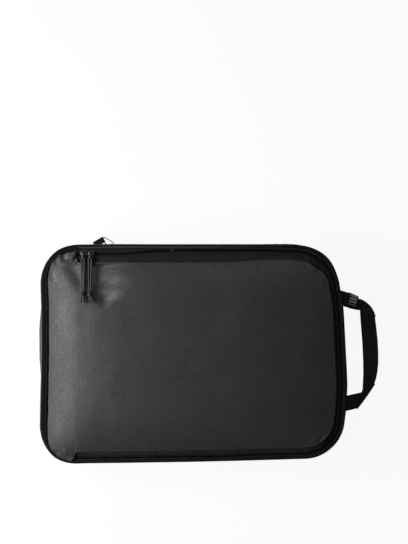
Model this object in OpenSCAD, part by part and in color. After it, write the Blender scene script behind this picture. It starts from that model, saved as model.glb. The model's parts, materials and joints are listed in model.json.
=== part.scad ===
// Compression packing cube, lying on its back with its compression zip closed.
// The origin is the centre of the rest face: +X runs to the handle, +Y to the top edge, +Z out of the front.

/* [Body] */
// Width of the body, from the spine side to the handle side
body_w = 354; // [320:1:400]
// Height of the body, from the bottom edge to the top edge
body_h = 253; // [225:1:300]
// Radius of the four corners
corner_r = 46; // [42:1:58]
// Thickness that stands for a layer of cloth
cloth_t = 1; // [0.8:0.1:1.2]
// Depth of the rear half, from the back panel to the compression zip
rear_depth = 25; // [23:1:32]
// Depth of the front half, from the compression zip to the front seam
front_depth = 19; // [18:1:26]
// How far the closed compression zip draws the waist in
waist_in = 5; // [3:0.5:7]
// Length of each gusset's straight hem at the waist
hem_h = 3; // [2.5:0.5:4]
// Inset of the back panel's seam
edge_in = 1.5; // [1:0.1:2.5]

/* [Front panel] */
// Rise of the front panel from its zip band to its middle
crown_h = 6.3; // [4:0.1:8]
// Inset where the front panel starts to rise
crown_start = 12; // [10:1:15]
// Width of the slope up to the flat middle
crown_w = 50; // [46:1:56]
// Distance of the flap's fold line from the spine side
fold_in = 72; // [68:1:90]

/* [Binding] */
// Thickness of the binding tape
binding_t = 0.7; // [0.5:0.1:1]
// Width of the front binding over the front edge
front_binding_w = 5; // [4:0.1:5.5]
// Height of the front binding down the gusset
front_binding_h = 4.6; // [3:0.1:6]
// Height of the rear binding
rear_binding_h = 3.6; // [2.5:0.1:4]

/* [Zips] */
// Distance of the main zip's centre line from the body's edge
zip_in = 10.5; // [10:0.1:11.5]
// Start of the main zip on the top edge, from the spine side
zip_start_in = 43; // [43:1:47]
// End of the main zip on the bottom edge, from the spine side
zip_end_in = 46; // [43:1:47]
// Width of the tape on each side of a zip
tape_w = 9.4; // [9:0.1:9.8]
// Thickness of the zip tape
tape_t = 0.6; // [0.4:0.1:0.8]
// Width of one row of coil
coil_w = 1.9; // [1.6:0.1:2.1]
// Thickness of the coil
coil_t = 1.2; // [1:0.1:1.4]
// Gap between the two rows of a zip
row_gap = 0.8; // [0.7:0.1:1]
// Length of a zip stop
stop_l = 1; // [0.6:0.1:1.2]
// Distance of the bar tack on the top band from the spine side
tack_in = 150.5; // [140:0.5:160]
// Width of the sewn tab across each end of the main zip
end_tab_w = 2.4; // [2:0.1:2.6]
// Width of the compression tape on each side of its zip
waist_tape_w = 7; // [6:0.1:7.2]
// Start of the stretch without coil on the compression zip, from the spine side
waist_gap_in = 56; // [50:1:60]
// Length of the stretch without coil
waist_gap_l = 24; // [16:1:24]

/* [Sliders] */
// Length of a slider along its zip
slider_l = 8.4; // [7.5:0.1:8.6]
// Width of a slider across its zip
slider_w = 8; // [7.4:0.1:8.2]
// Thickness of a slider's outer plate
slider_top_t = 1.1; // [0.9:0.1:1.4]
// Thickness of a slider's inner plate
slider_base_t = 0.7; // [0.5:0.1:0.9]
// Radius of the bar that holds a pull
bar_r = 0.7; // [0.6:0.05:0.8]
// Radius of the link's wire
wire_r = 0.5; // [0.4:0.05:0.55]
// Position of the left main slider, from the spine side
left_slider_in = 51.3; // [51.2:0.1:52]
// Position of the compression slider, from the spine side
waist_slider_in = 85; // [85:1:110]
// Running clearance of the sliders, links and tab
run_gap = 0.2; // [0.15:0.05:0.25]

/* [Pulls] */
// Mean radius of a main pull's link
link_r = 1.55; // [1.5:0.05:1.7]
// Length of a main pull's link between its round ends
link_l = 4.4; // [4.2:0.1:6]
// Diameter of the pull cord
cord_d = 1.7; // [1.5:0.1:1.7]
// Shift of the left pull along its slider's bar
left_pull_shift = -0.9; // [-1:0.1:0]
// Shift of the right pull along its slider's bar
right_pull_shift = -1.6; // [-1.6:0.1:0]
// Slope of the main pulls as they lie on the panel
pull_slope = 8.2; // [8:0.1:9]
// Distance from the slider's bar to the knot
knot_from_bar = 44.5; // [44:0.5:47]
// Diameter of the knot
knot_d = 5.4; // [5:0.1:5.6]
// Length of the knot
knot_l = 5.5; // [4:0.1:7]
// Length of the cord's tails past the knot
tail_l = 7.5; // [5:0.1:9]
// Mean radius of the compression pull's link
waist_link_r = 2.8; // [2.4:0.05:3]
// Length of the compression pull's link between its round ends
waist_link_l = 9.6; // [7:0.1:10]
// Slope of the compression pull's link
waist_link_slope = 30; // [26:1:34]
// Slope of the compression pull's tab
tab_slope = 30; // [22:1:31]
// Length of the tab
tab_l = 12.4; // [10:0.1:12.6]
// Width of the tab
tab_w = 7; // [6.4:0.1:7.4]
// Thickness of the tab
tab_t = 2.4; // [2.2:0.1:3]

/* [Handle] */
// Height of the handle's webbing above the rest face
handle_z = 19; // [18.6:0.1:19.4]
// Thickness of the folded webbing
webbing_t = 2; // [1.4:0.1:2.4]
// Width of the webbing
webbing_w = 17.5; // [14:0.5:20]
// Reach of the handle past its fold line
handle_reach = 36; // [30:0.1:40]
// Height of the handle's upper end above the body's centre
handle_up = 62; // [56:0.5:66]
// Depth of the handle's lower end below the body's centre
handle_down = 58.4; // [50:0.1:62]
// Distance of the handle's fold line past the body's edge
handle_fold_out = 2.75; // [2.6:0.05:4]
// Length of the size tag along the handle
tag_l = 10; // [6:0.1:11]
// Thickness of the size tag
tag_t = 0.6; // [0.4:0.1:1]

/* [Inside] */
// Width of the expansion gusset's folds
bellows_w = 5.5; // [4:0.1:7]
// Number of folds in the expansion gusset
bellows_n = 3; // [2:1:4]
// Size of the blank care label
label_size = [30, 18]; // [10:1:40]

/* [Hidden] */

half_w = body_w / 2;
half_h = body_h / 2;
far = body_w + body_h;                      // longer than any part of the body
seam_gap = 0.1;                             // between sewn layers that lie on each other
soft_gap = 0.3;                             // between soft pieces of different bodies
side_facets = 64;

// Heights of the zip band on the front
front_z = rear_depth + front_depth;         // underside of the main zip's tape
tape_top = front_z + tape_t;
panel_z = tape_top + seam_gap + cloth_t;    // top of the front panel at its edge
panel_top = panel_z + crown_h;

// Places across the zip band, as distances in from the body's edge
outer_row_in = zip_in - row_gap / 2;
inner_row_in = zip_in + row_gap / 2;
panel_in = inner_row_in + tape_w - 2;       // the panel laps 2 mm over the flap's tape
spine_in = front_binding_w + run_gap;

// Places along X
fold_x = -half_w + fold_in;
zip_start_x = -half_w + zip_start_in;
zip_end_x = -half_w + zip_end_in;
left_slider_x = -half_w + left_slider_in;
right_slider_x = left_slider_x + slider_l + 2 * run_gap;
left_pull_x = left_slider_x + left_pull_shift;
right_pull_x = right_slider_x + right_pull_shift;
waist_slider_x = -half_w + waist_slider_in;
waist_gap_x = -half_w + waist_gap_in;
handle_fold_x = half_w + handle_fold_out;

// The compression zip lies in the waist: tape outside, coil behind it
waist_tape_in = waist_in - seam_gap;        // inner face of the compression tape
waist_top = rear_depth + row_gap / 2;       // lower edge of the front row
waist_low = rear_depth - row_gap / 2;       // upper edge of the rear row

// Slider plates, measured from the tape's coil side
plate_low = tape_t + run_gap;
plate_high = plate_low + slider_top_t;
base_high = -coil_t - run_gap;
bar_h = plate_high + link_r + wire_r + run_gap;
waist_bar_h = plate_high + waist_link_r + wire_r + run_gap;
waist_bar_x = -slider_l / 2 + 0.9;          // the compression slider's bar sits at its tail

// The loop of a main pull: the cord turns round the far end of its link
bight_at = link_l + link_r - wire_r - cord_d / 2 - 0.05;
bight_r = wire_r + cord_d / 2 + 0.15;

// The cord's route past its turn: [half spread, distance from the bar]
cord_route = [[1.5, 10], [1.5, 15], [1.5, 20], [1.4, 25], [1.3, 30], [1.2, 35], [1.1, 40]];
cord_sides = 8;

// ---------------------------------------------------------------- helpers

// A band of cloth from its outer points, t thick towards the inside
function band(points, t) =
    concat(points, [for (i = [len(points) - 1:-1:0]) points[i] + [t, 0]]);

function box(in_a, in_b, z_a, z_b) = [[in_a, z_a], [in_b, z_a], [in_b, z_b], [in_a, z_b]];

function smooth(t) = let (s = min(max(t, 0), 1)) s * s * (3 - 2 * s);

// Rise of the front panel at a distance in from the edge
function rise(inset) = crown_h * smooth((inset - crown_start) / crown_w);

// Sweeps a profile round the body. Its points are [distance in from the body's edge, height].
module ring(profile) {
    section = [for (p = profile) [corner_r - p.x, p.y]];
    for (i = [0:3]) {
        run = (i % 2 == 0 ? body_h : body_w) - 2 * corner_r;
        side = (i % 2 == 0 ? half_w : half_h) - corner_r;
        rotate(90 * i) translate([side, run / 2, 0]) {
            rotate([90, 0, 0]) linear_extrude(run) polygon(section);
            rotate_extrude(angle = 90, $fn = side_facets) polygon(section);
        }
    }
}

// The body's outline drawn in by an inset
module outline(inset) {
    r = corner_r - inset;
    square([body_w - 2 * corner_r, body_h - 2 * inset], center = true);
    square([body_w - 2 * inset, body_h - 2 * corner_r], center = true);
    for (x = [-1, 1], y = [-1, 1])
        translate([x * (half_w - corner_r), y * (half_h - corner_r)]) circle(r, $fn = side_facets);
}

module right_of(x) {
    translate([x, -far / 2, -far / 2]) cube(far);
}

module left_of(x) {
    translate([x - far, -far / 2, -far / 2]) cube(far);
}

// The stretch of the main zip from its start on the top edge round to its end on the bottom edge
module zip_stretch() {
    translate([zip_start_x, 0, -far / 2]) cube(far);
    translate([zip_end_x, -far, -far / 2]) cube(far);
}

// The fixed stretch of the main zip, from its two ends to the fold
module fixed_stretch() {
    intersection() {
        zip_stretch();
        left_of(fold_x - soft_gap / 2);
    }
}

// A row of crowned rings, from the outer inset to the flat middle
module crowned_panel(first_in) {
    steps = 8;                               // rings across the slope
    arc_steps = 7;                           // points round each corner
    last_in = crown_start + crown_w;
    insets = concat([first_in], [for (i = [1:steps]) max(first_in, crown_start) + i / steps
        * (last_in - max(first_in, crown_start))]);
    function corner(inset, i, k) =
        let (r = max(corner_r - inset, 1), a = 90 * (i + k / arc_steps),
            cx = half_w - inset - r, cy = half_h - inset - r,
            sx = (i == 0 || i == 3) ? 1 : -1, sy = i < 2 ? 1 : -1)
        [sx * cx + r * cos(a), sy * cy + r * sin(a)];
    function loop(inset, z) =
        [for (i = [0:3], k = [0:arc_steps]) let (p = corner(inset, i, k)) [p.x, p.y, z]];
    n = 4 * (arc_steps + 1);
    m = len(insets);
    top = [for (inset = insets) each loop(inset, panel_z + rise(inset))];
    under = [for (inset = insets) each loop(inset, panel_z + rise(inset) - cloth_t)];
    function wall(a, b, flip) = [for (j = [0:n - 1]) let (k = (j + 1) % n)
        flip ? [b + j, b + k, a + k, a + j] : [a + j, a + k, b + k, b + j]];
    faces = concat(
        [for (i = [0:m - 2]) each wall(i * n, (i + 1) * n, true)],
        [for (i = [0:m - 2]) each wall((m + i) * n, (m + i + 1) * n, false)],
        wall(0, m * n, false),
        [[for (j = [n - 1:-1:0]) (m - 1) * n + j]],
        [[for (j = [0:n - 1]) (2 * m - 1) * n + j]]);
    polyhedron(concat(top, under), faces, convexity = 6);
}

// A flat plate with rounded corners
module plate(l, w, t, r = 1.6) {
    linear_extrude(t) {
        square([l - 2 * r, w], center = true);
        square([l, w - 2 * r], center = true);
        for (x = [-1, 1], y = [-1, 1]) translate([x * (l / 2 - r), y * (w / 2 - r)]) circle(r, $fn = 24);
    }
}

// A slider on a zip that runs along X, its outer plate up and the coil below the tape.
// flange_sides names the sides of the zip, -1 or 1, whose coil a flange wraps.
module slider(flange_sides) {
    fin_t = row_gap - 2 * run_gap;
    flange_t = 0.6;
    translate([0, 0, plate_low]) plate(slider_l, slider_w, slider_top_t);
    translate([0, 0, base_high - slider_base_t]) plate(slider_l, slider_w, slider_base_t);
    translate([-slider_l / 2 + 1, -fin_t / 2, base_high - slider_base_t / 2])
        cube([slider_l / 2, fin_t, plate_low - base_high + slider_base_t]);
    for (side = flange_sides)
        translate([-slider_l / 2 + 1.6, side * (row_gap / 2 + coil_w + run_gap + flange_t / 2) - flange_t / 2,
            base_high - slider_base_t / 2])
            cube([slider_l - 3.2, flange_t, -base_high + slider_base_t / 2 - 0.3]);
}

// The bar that holds a pull: along X with its posts at both ends
module pull_bar(length, height) {
    post_l = 1.2;
    translate([-length / 2, 0, height]) rotate([0, 90, 0]) cylinder(h = length, r = bar_r, $fn = 24);
    for (x = [-length / 2, length / 2 - post_l])
        translate([x, -bar_r, plate_high - slider_top_t / 2])
            cube([post_l, 2 * bar_r, height - plate_high + slider_top_t / 2]);
}

// An oval wire link in the XZ plane that turns about the Y axis and reaches out along -X
module wire_link(r, l, wire) {
    rotate([90, 0, 0]) {
        rotate([0, 0, -90]) rotate_extrude(angle = 180, $fn = 48) translate([r, 0]) circle(wire, $fn = 24);
        translate([-l, 0, 0]) rotate([0, 0, 90]) rotate_extrude(angle = 180, $fn = 48)
            translate([r, 0]) circle(wire, $fn = 24);
        for (y = [-r, r])
            translate([-l, y, 0]) rotate([0, 90, 0]) cylinder(h = l, r = wire, $fn = 24);
    }
}

// Places children where a main pull hangs: X along the zip, -Y out along the pull
module pull_frame(x) {
    translate([x, half_h - zip_in, front_z + bar_h]) rotate([-pull_slope, 0, 0]) children();
}

// A round cord along a list of points, closed at both ends
module cord_tube(points, d) {
    n = len(points);
    function unit(v) = v / norm(v);
    function way(i) = unit(points[min(i + 1, n - 1)] - points[max(i - 1, 0)]);
    function end_way(i) = i == 0 ? [1, 0, 0] : i == n - 1 ? [0, -1, 0] : way(i);
    rings = [for (i = [0:n - 1]) let (t = end_way(i), u = [0, 0, 1], v = unit(cross(t, u)))
        each [for (k = [0:cord_sides - 1]) let (a = 360 * k / cord_sides)
            points[i] + d / 2 * (cos(a) * v + sin(a) * u)]];
    sides = [for (i = [0:n - 2], k = [0:cord_sides - 1]) let (j = (k + 1) % cord_sides)
        [i * cord_sides + k, i * cord_sides + j, (i + 1) * cord_sides + j, (i + 1) * cord_sides + k]];
    caps = [[for (k = [cord_sides - 1:-1:0]) k], [for (k = [0:cord_sides - 1]) (n - 1) * cord_sides + k]];
    polyhedron(rings, concat(sides, caps), convexity = 4);
}

// One strand of a pull's loop, from the middle of its turn to the knot
module strand(side) {
    turn = [for (a = [0:22.5:90]) [bight_r * sin(a), -bight_at - bight_r * (1 - cos(a)), 0]];
    run = [for (p = cord_route) [p.x, -p.y, 0]];
    last = [[run[len(run) - 1].x, -knot_from_bar, 0]];
    mirror([side < 0 ? 1 : 0, 0, 0]) cord_tube(concat(turn, run, last), cord_d);
}

// A knot with the cord's two tails, each tail turned out by an angle
module knot(tail_angles) {
    translate([0, -knot_from_bar, 0]) rotate([90, 0, 0]) cylinder(h = knot_l, d = knot_d, $fn = 32);
    for (i = [0, 1])
        translate([(i - 0.5) * 2.2, -knot_from_bar - knot_l + 1, 0]) rotate([90, 0, tail_angles[i]])
            cylinder(h = tail_l + 1, d = cord_d, $fn = 16);
}

// ---------------------------------------------------------------- rear half

module back_panel() {
    color("#2a292c") linear_extrude(cloth_t) outline(edge_in);
}

// The rear wall bellies out between its seam and the waist
rear_wall = [
    [edge_in, cloth_t], [edge_in, cloth_t + 3], [0, cloth_t + 7],
    [0, rear_depth - waist_tape_w - waist_in - 0.6], [waist_in, rear_depth - waist_tape_w - 0.6],
    [waist_in, rear_depth - waist_tape_w - 0.6 + hem_h]
];

module rear_gusset() {
    color("#333135") ring(band(rear_wall, cloth_t));
}

module rear_binding() {
    color("#161617") ring(box(edge_in - seam_gap - binding_t, edge_in - seam_gap, 0, rear_binding_h));
}

module compression_tape_rear() {
    color("#18181a") ring(box(waist_tape_in - tape_t, waist_tape_in, waist_low - waist_tape_w, waist_low));
}

// The stretch of the top edge that has no coil
module waist_gap(shrink) {
    translate([waist_gap_x + shrink, 0, -far / 2]) cube([waist_gap_l - 2 * shrink, far, far]);
}

module waist_row(z_a, z_b) {
    difference() {
        ring(box(waist_tape_in, waist_tape_in + coil_t, z_a, z_b));
        waist_gap(0);
    }
}

module waist_stops(z_a, z_b) {
    intersection() {
        ring(box(waist_tape_in, waist_tape_in + coil_t, z_a, z_b));
        difference() {
            waist_gap(0);
            waist_gap(stop_l);
        }
    }
}

module compression_coil_rear() {
    color("#101011") waist_row(waist_low - coil_w, waist_low);
}

module compression_stops_rear() {
    color("#0c0c0c") waist_stops(waist_low - coil_w, waist_low);
}

// Folded cloth that lets the cube grow when the compression zip is opened
module expansion_gusset() {
    hem_in = waist_in + cloth_t + seam_gap;
    first_fold = waist_tape_in + coil_t + run_gap + slider_base_t + soft_gap;
    hem_z = rear_wall[5].y - hem_h + 0.5;
    low = hem_z + 1;
    high = 2 * rear_depth - low;
    pitch = (high - low) / (2 * bellows_n);
    zigzag = [for (i = [0:2 * bellows_n]) [first_fold + (i % 2) * bellows_w, low + i * pitch]];
    color("#222125") ring(band(concat([[hem_in, hem_z]], zigzag, [[hem_in, 2 * rear_depth - hem_z]]),
        cloth_t * 0.7));
}

module care_label() {
    color("#d8d6d0") translate([-half_w + edge_in + 4, -label_size.y / 2, cloth_t])
        cube([label_size.x, label_size.y, 0.4]);
}

// ---------------------------------------------------------------- front half

module compression_tape_front() {
    color("#18181a") ring(box(waist_tape_in - tape_t, waist_tape_in, waist_top, waist_top + waist_tape_w));
}

module compression_coil_front() {
    color("#101011") waist_row(waist_top, waist_top + coil_w);
}

module compression_stops_front() {
    color("#0c0c0c") waist_stops(waist_top, waist_top + coil_w);
}

// The front wall bellies out from the waist to the front seam
front_wall = [
    [waist_in, waist_top + waist_tape_w - hem_h + 0.6], [waist_in, waist_top + waist_tape_w + 0.6],
    [0, waist_top + waist_tape_w + 0.6 + waist_in], [0, tape_top]
];

module front_gusset() {
    color("#333135") ring(band(front_wall, cloth_t));
}

// Binding folded over the front edge
module front_binding() {
    low = tape_top + seam_gap;
    out = -seam_gap;
    color("#161617") ring([
        [out - binding_t, tape_top - front_binding_h], [out, tape_top - front_binding_h], [out, low],
        [front_binding_w, low], [front_binding_w, low + binding_t], [out - binding_t, low + binding_t]
    ]);
}

// The fixed strip of the front panel beside the spine, cut away round the zip's two ends
module front_panel_spine() {
    color("#4a494d") intersection() {
        difference() {
            crowned_panel(spine_in);
            intersection() {
                ring(box(-1, panel_in, 0, far));
                union() {
                    translate([zip_start_x - 2, 0, -far / 2]) cube(far);
                    translate([zip_end_x - 2, -far, -far / 2]) cube(far);
                }
            }
        }
        left_of(fold_x - soft_gap / 2);
    }
}

module main_tape_outer() {
    color("#18181a") intersection() {
        ring(box(cloth_t + seam_gap, outer_row_in, front_z, tape_top));
        zip_stretch();
    }
}

module main_coil_outer() {
    color("#101011") intersection() {
        ring(box(outer_row_in - coil_w, outer_row_in, front_z - coil_t, front_z));
        zip_stretch();
    }
}

module inner_tape() {
    ring(box(inner_row_in, inner_row_in + tape_w, front_z, tape_top));
}

module inner_coil() {
    ring(box(inner_row_in, inner_row_in + coil_w, front_z - coil_t, front_z));
}

module main_tape_start() {
    color("#18181a") intersection() {
        inner_tape();
        fixed_stretch();
    }
}

module main_coil_start() {
    color("#101011") intersection() {
        inner_coil();
        fixed_stretch();
    }
}

// Stops in the gap between the rows, at the zip's two ends
module main_zip_stops() {
    color("#0c0c0c") intersection() {
        ring(box(outer_row_in, inner_row_in, front_z - coil_t, front_z));
        union() {
            translate([zip_start_x, 0, 0]) cube([stop_l, far, far]);
            translate([zip_end_x, -far, 0]) cube([stop_l, far, far]);
        }
    }
}

// Sewn tabs across the zip's two ends
module main_zip_end_tabs() {
    tab_h = panel_in - front_binding_w - 2 * soft_gap;
    low = tape_top + seam_gap;
    color("#1c1c1e") for (end = [[zip_start_x, 1], [zip_end_x, -1]])
        translate([end.x - 1.6, end.y * (half_h - front_binding_w - soft_gap - tab_h / 2) - tab_h / 2, low])
            cube([end_tab_w, tab_h, binding_t]);
}

// A short bar of stitching on the outer tape
module tape_bartack() {
    bar = [4, 1.6, 0.5];
    color("#0c0c0c") translate([-half_w + tack_in, half_h - front_binding_w - 0.6 - bar.y, tape_top])
        cube(bar);
}

// ---------------------------------------------------------------- flap

module front_panel_flap() {
    color("#4a494d") intersection() {
        crowned_panel(panel_in);
        right_of(fold_x + soft_gap / 2);
    }
}

module main_tape_flap() {
    color("#18181a") intersection() {
        inner_tape();
        right_of(fold_x + soft_gap / 2);
    }
}

module main_coil_flap() {
    color("#101011") intersection() {
        inner_coil();
        right_of(fold_x + soft_gap / 2);
    }
}

// ---------------------------------------------------------------- sliders and pulls

module main_slider(x) {
    color("#1b1b1c") translate([x, half_h - zip_in, front_z]) {
        slider([-1, 1]);
        pull_bar(slider_l - 1.4, bar_h);
    }
}

module main_slider_left() {
    main_slider(left_slider_x);
}

module main_slider_right() {
    main_slider(right_slider_x);
}

module pull_link(x) {
    color("#2b2b2d") pull_frame(x) rotate(90) wire_link(link_r, link_l, wire_r);
}

module pull_link_left() {
    pull_link(left_pull_x);
}

module pull_link_right() {
    pull_link(right_pull_x);
}

module pull_cord_left_a() {
    color("#1f1f21") pull_frame(left_pull_x) strand(-1);
}

module pull_cord_left_b() {
    color("#1f1f21") pull_frame(left_pull_x) strand(1);
}

module pull_cord_right_a() {
    color("#1f1f21") pull_frame(right_pull_x) strand(-1);
}

module pull_cord_right_b() {
    color("#1f1f21") pull_frame(right_pull_x) strand(1);
}

module pull_knot_left() {
    color("#1f1f21") pull_frame(left_pull_x) knot([-3, 3]);
}

module pull_knot_right() {
    color("#1f1f21") pull_frame(right_pull_x) knot([10, 20]);
}

// Places children on the compression zip: X along it, the slider's outer plate to +Y, -Y to the front half
module waist_frame() {
    translate([waist_slider_x, half_h - waist_tape_in, rear_depth]) rotate([-90, 0, 0]) children();
}

// The compression slider wraps only the rear row, so that the front half lifts away freely
module compression_slider() {
    post_w = 4 * wire_r + 3.6;
    color("#1b1b1c") waist_frame() {
        slider([1]);
        translate([waist_bar_x, 0, 0]) rotate(90) pull_bar(post_w, waist_bar_h);
    }
}

module waist_link(wire) {
    waist_frame() translate([waist_bar_x, 0, waist_bar_h]) rotate([0, waist_link_slope, 0])
        wire_link(waist_link_r, waist_link_l, wire);
}

module compression_pull_link() {
    color("#2b2b2d") waist_link(wire_r);
}

// Folded webbing sewn round the far end of the link
module compression_pull_tab() {
    turn = [cos(waist_link_slope), -sin(waist_link_slope)];
    at = [waist_bar_x, waist_bar_h] - (waist_link_l + 0.8) * turn;
    color("#141415") difference() {
        waist_frame() translate([at.x, 0, at.y]) rotate([0, -tab_slope, 0])
            rotate([90, 0, 0]) translate([-tab_l / 2, 0, -tab_t / 2]) plate(tab_l, tab_w, tab_t, 1);
        waist_link(wire_r + run_gap);
    }
}

// ---------------------------------------------------------------- handle

// Points of the webbing loop past its fold line, as [out, up]
handle_top = [handle_up + webbing_w / 2, handle_up - webbing_w / 2];
handle_low = [-handle_down + webbing_w / 2, -handle_down - webbing_w / 2];
handle_side = handle_reach - webbing_w;
top_fall = 0.4;                              // slope of the upper limb's outer edge
low_fall = 0.2;                              // slope of the upper limb's inner edge
tag_start = 1;                               // from the fold line to the size tag
limb_l = tag_start + tag_l + 1;              // straight stretch of the upper limb, past the tag's end
inner_corner = max(handle_side - 4.3, limb_l + 1.5);
handle_shape = [
    [0, handle_top[0]], [limb_l, handle_top[0] - limb_l * top_fall], [handle_reach - 10, handle_up - 10],
    [handle_reach - 4, handle_up - 20], [handle_reach - 1, handle_up - 43], [handle_reach, -2],
    [handle_reach - 1.1, -handle_down + 35.6], [handle_reach - 5, -handle_down + 21.6],
    [10.5, -handle_down - 6.4], [5, handle_low[1] + 0.8], [0, handle_low[1]], [0, handle_low[0]],
    [handle_side - 0.4, handle_low[0] + 4.3], [handle_side, -handle_down + 22], [handle_side - 0.3, -8],
    [handle_side - 1.8, handle_up - 43], [inner_corner + 0.2, handle_up - 15],
    [inner_corner, handle_top[1] - inner_corner * low_fall], [0, handle_top[1]]
];

// The webbing's two ends, sewn to the rear compression tape
module handle_anchors() {
    inner_x = half_w - waist_in + tape_t + 2 * seam_gap;
    outer_x = handle_fold_x - soft_gap / 2;
    color("#1d1d1f") for (limb = [handle_top, [handle_low[0], handle_low[1]]])
        translate([inner_x, min(limb), handle_z - webbing_t / 2])
            cube([outer_x - inner_x, abs(limb[0] - limb[1]), webbing_t]);
}

module handle_bartacks() {
    bar = [1.6, webbing_w - 5, 0.5];
    color("#0c0c0c") for (limb = [handle_top, handle_low])
        translate([half_w - waist_in + 2, (limb.x + limb.y - bar.y) / 2, handle_z + webbing_t / 2])
            cube(bar);
}

module handle_webbing() {
    color("#1d1d1f") translate([handle_fold_x + soft_gap / 2, 0, handle_z - webbing_t / 2])
        linear_extrude(webbing_t) polygon(handle_shape);
}

// The four edges of the upper limb between two places, grown by a margin
function limb_edges(a, b, margin) = [
    [a, handle_top[0] - a * top_fall + margin], [b, handle_top[0] - b * top_fall + margin],
    [b, handle_top[1] - b * low_fall - margin], [a, handle_top[1] - a * low_fall - margin]
];

// A woven tag wrapped round the upper limb
module handle_size_tag() {
    grown = seam_gap + tag_t;
    color("#101011") translate([handle_fold_x + soft_gap / 2, 0, handle_z]) difference() {
        translate([0, 0, -webbing_t / 2 - grown]) linear_extrude(webbing_t + 2 * grown)
            polygon(limb_edges(tag_start, tag_start + tag_l, grown));
        translate([0, 0, -webbing_t / 2 - seam_gap]) linear_extrude(webbing_t + 2 * seam_gap)
            polygon(limb_edges(tag_start - 1, tag_start + tag_l + 1, seam_gap));
    }
}

// ---------------------------------------------------------------- the nodes

back_panel();
rear_gusset();
rear_binding();
compression_tape_rear();
compression_coil_rear();
compression_stops_rear();
expansion_gusset();
care_label();
handle_anchors();
handle_bartacks();
compression_tape_front();
compression_coil_front();
compression_stops_front();
front_gusset();
front_binding();
front_panel_spine();
main_tape_outer();
main_coil_outer();
main_tape_start();
main_coil_start();
main_zip_stops();
main_zip_end_tabs();
tape_bartack();
front_panel_flap();
main_tape_flap();
main_coil_flap();
main_slider_left();
main_slider_right();
pull_link_left();
pull_link_right();
pull_cord_left_a();
pull_cord_left_b();
pull_cord_right_a();
pull_cord_right_b();
pull_knot_left();
pull_knot_right();
compression_slider();
compression_pull_link();
compression_pull_tab();
handle_webbing();
handle_size_tag();
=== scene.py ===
"""Looks of the compression packing cube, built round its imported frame.

Shapes are worked out in millimetres, and become metres when a piece is made.
"""

import json
import math

import bpy
import numpy as np
from mathutils import Matrix, Vector, noise


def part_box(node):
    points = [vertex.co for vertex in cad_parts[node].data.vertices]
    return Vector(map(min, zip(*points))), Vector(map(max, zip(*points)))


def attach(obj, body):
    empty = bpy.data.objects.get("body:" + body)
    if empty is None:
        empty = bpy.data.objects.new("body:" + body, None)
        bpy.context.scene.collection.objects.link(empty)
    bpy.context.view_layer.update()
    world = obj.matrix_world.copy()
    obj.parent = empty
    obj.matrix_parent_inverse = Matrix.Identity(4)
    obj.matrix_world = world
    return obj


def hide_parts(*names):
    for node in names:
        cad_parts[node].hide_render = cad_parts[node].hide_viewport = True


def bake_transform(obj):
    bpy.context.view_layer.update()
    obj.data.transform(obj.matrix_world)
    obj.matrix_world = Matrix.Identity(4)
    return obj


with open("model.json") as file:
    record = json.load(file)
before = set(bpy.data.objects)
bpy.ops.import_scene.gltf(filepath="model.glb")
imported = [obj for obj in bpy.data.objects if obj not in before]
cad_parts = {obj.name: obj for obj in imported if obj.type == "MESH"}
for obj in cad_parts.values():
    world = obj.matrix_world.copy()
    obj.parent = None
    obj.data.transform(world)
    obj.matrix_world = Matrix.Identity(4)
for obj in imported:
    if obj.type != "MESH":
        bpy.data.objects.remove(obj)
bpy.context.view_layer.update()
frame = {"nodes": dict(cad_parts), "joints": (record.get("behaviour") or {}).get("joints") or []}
MM = 0.001


def node_box(node):
    """Lowest and highest corner of a CAD node, in millimetres."""
    low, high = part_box(node)
    return low / MM, high / MM


def joint_place(name):
    """Where a hinge's axis lies, in millimetres."""
    joint = next(j for j in frame["joints"] if j["name"] == name)
    return Vector(joint["pos_m"]) / MM


# ---------------- sizes from the frame

HALF_W, HALF_H = node_box("front_gusset")[1].xy
TAPE_LOW, TAPE_TOP = node_box("main_tape_outer")[0].z, node_box("main_tape_outer")[1].z
PANEL_Z = TAPE_TOP + 0.9  # top of the front panel at its edge
FOLD_X = joint_place("flap_fold").x
ZIP_START_X = node_box("main_zip_stops")[0].x
ZIP_END_X = node_box("main_zip_end_tabs")[1].x - 1
WAIST_Z = (node_box("compression_tape_rear")[1].z + node_box("compression_tape_front")[0].z) / 2
WAIST_TAPE_W = node_box("compression_tape_rear")[1].z - node_box("compression_tape_rear")[0].z
WAIST_IN = HALF_H - node_box("compression_tape_rear")[1].y + 0.6
GUSSET_LOW, GUSSET_TOP = node_box("front_gusset")[0].z, node_box("front_gusset")[1].z
REAR_TOP = node_box("rear_gusset")[1].z
BELLOWS_LOW, BELLOWS_TOP = node_box("expansion_gusset")[0].z, node_box("expansion_gusset")[1].z
HANDLE_Z = (node_box("handle_webbing")[0].z + node_box("handle_webbing")[1].z) / 2
HANDLE_X = joint_place("handle_swing").x

# ---------------- sizes of the cloth

CORNER_R = 46
CLOTH_T = 0.9
CROWN_H = 10.8  # how far the clothes inside push the front panel up
SEAM_BY_SPINE = 7  # inset of the seam under the broad binding
EDGE_LAP = 1.6  # of the front panel under the binding, by the spine
MIN_R = 1.5  # corner radius of the innermost rings
EASING = 25  # length over which the slump's corners are eased
CORNER_EASE = 48  # length over which a value changes from one side to the next
TAB_LAP = 4.5  # how far the zip runs under its end tab

# ---------------- camera

VIEW_W = 469.6  # width that the camera sees at the front seam
CAMERA_AT = Vector((12.5, 94.5, 2000))
SENSOR = 36
FRAME_W, FRAME_H = 408, 544

camera = bpy.data.objects.new("camera", bpy.data.cameras.new("camera"))
bpy.context.scene.collection.objects.link(camera)
camera.location = CAMERA_AT * MM
camera.data.sensor_width = SENSOR
camera.data.lens = SENSOR * (CAMERA_AT.z - TAPE_TOP) / (VIEW_W * FRAME_H / FRAME_W)
camera.data.clip_end = 20
bpy.context.scene.camera = camera

# ---------------- materials


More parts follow.
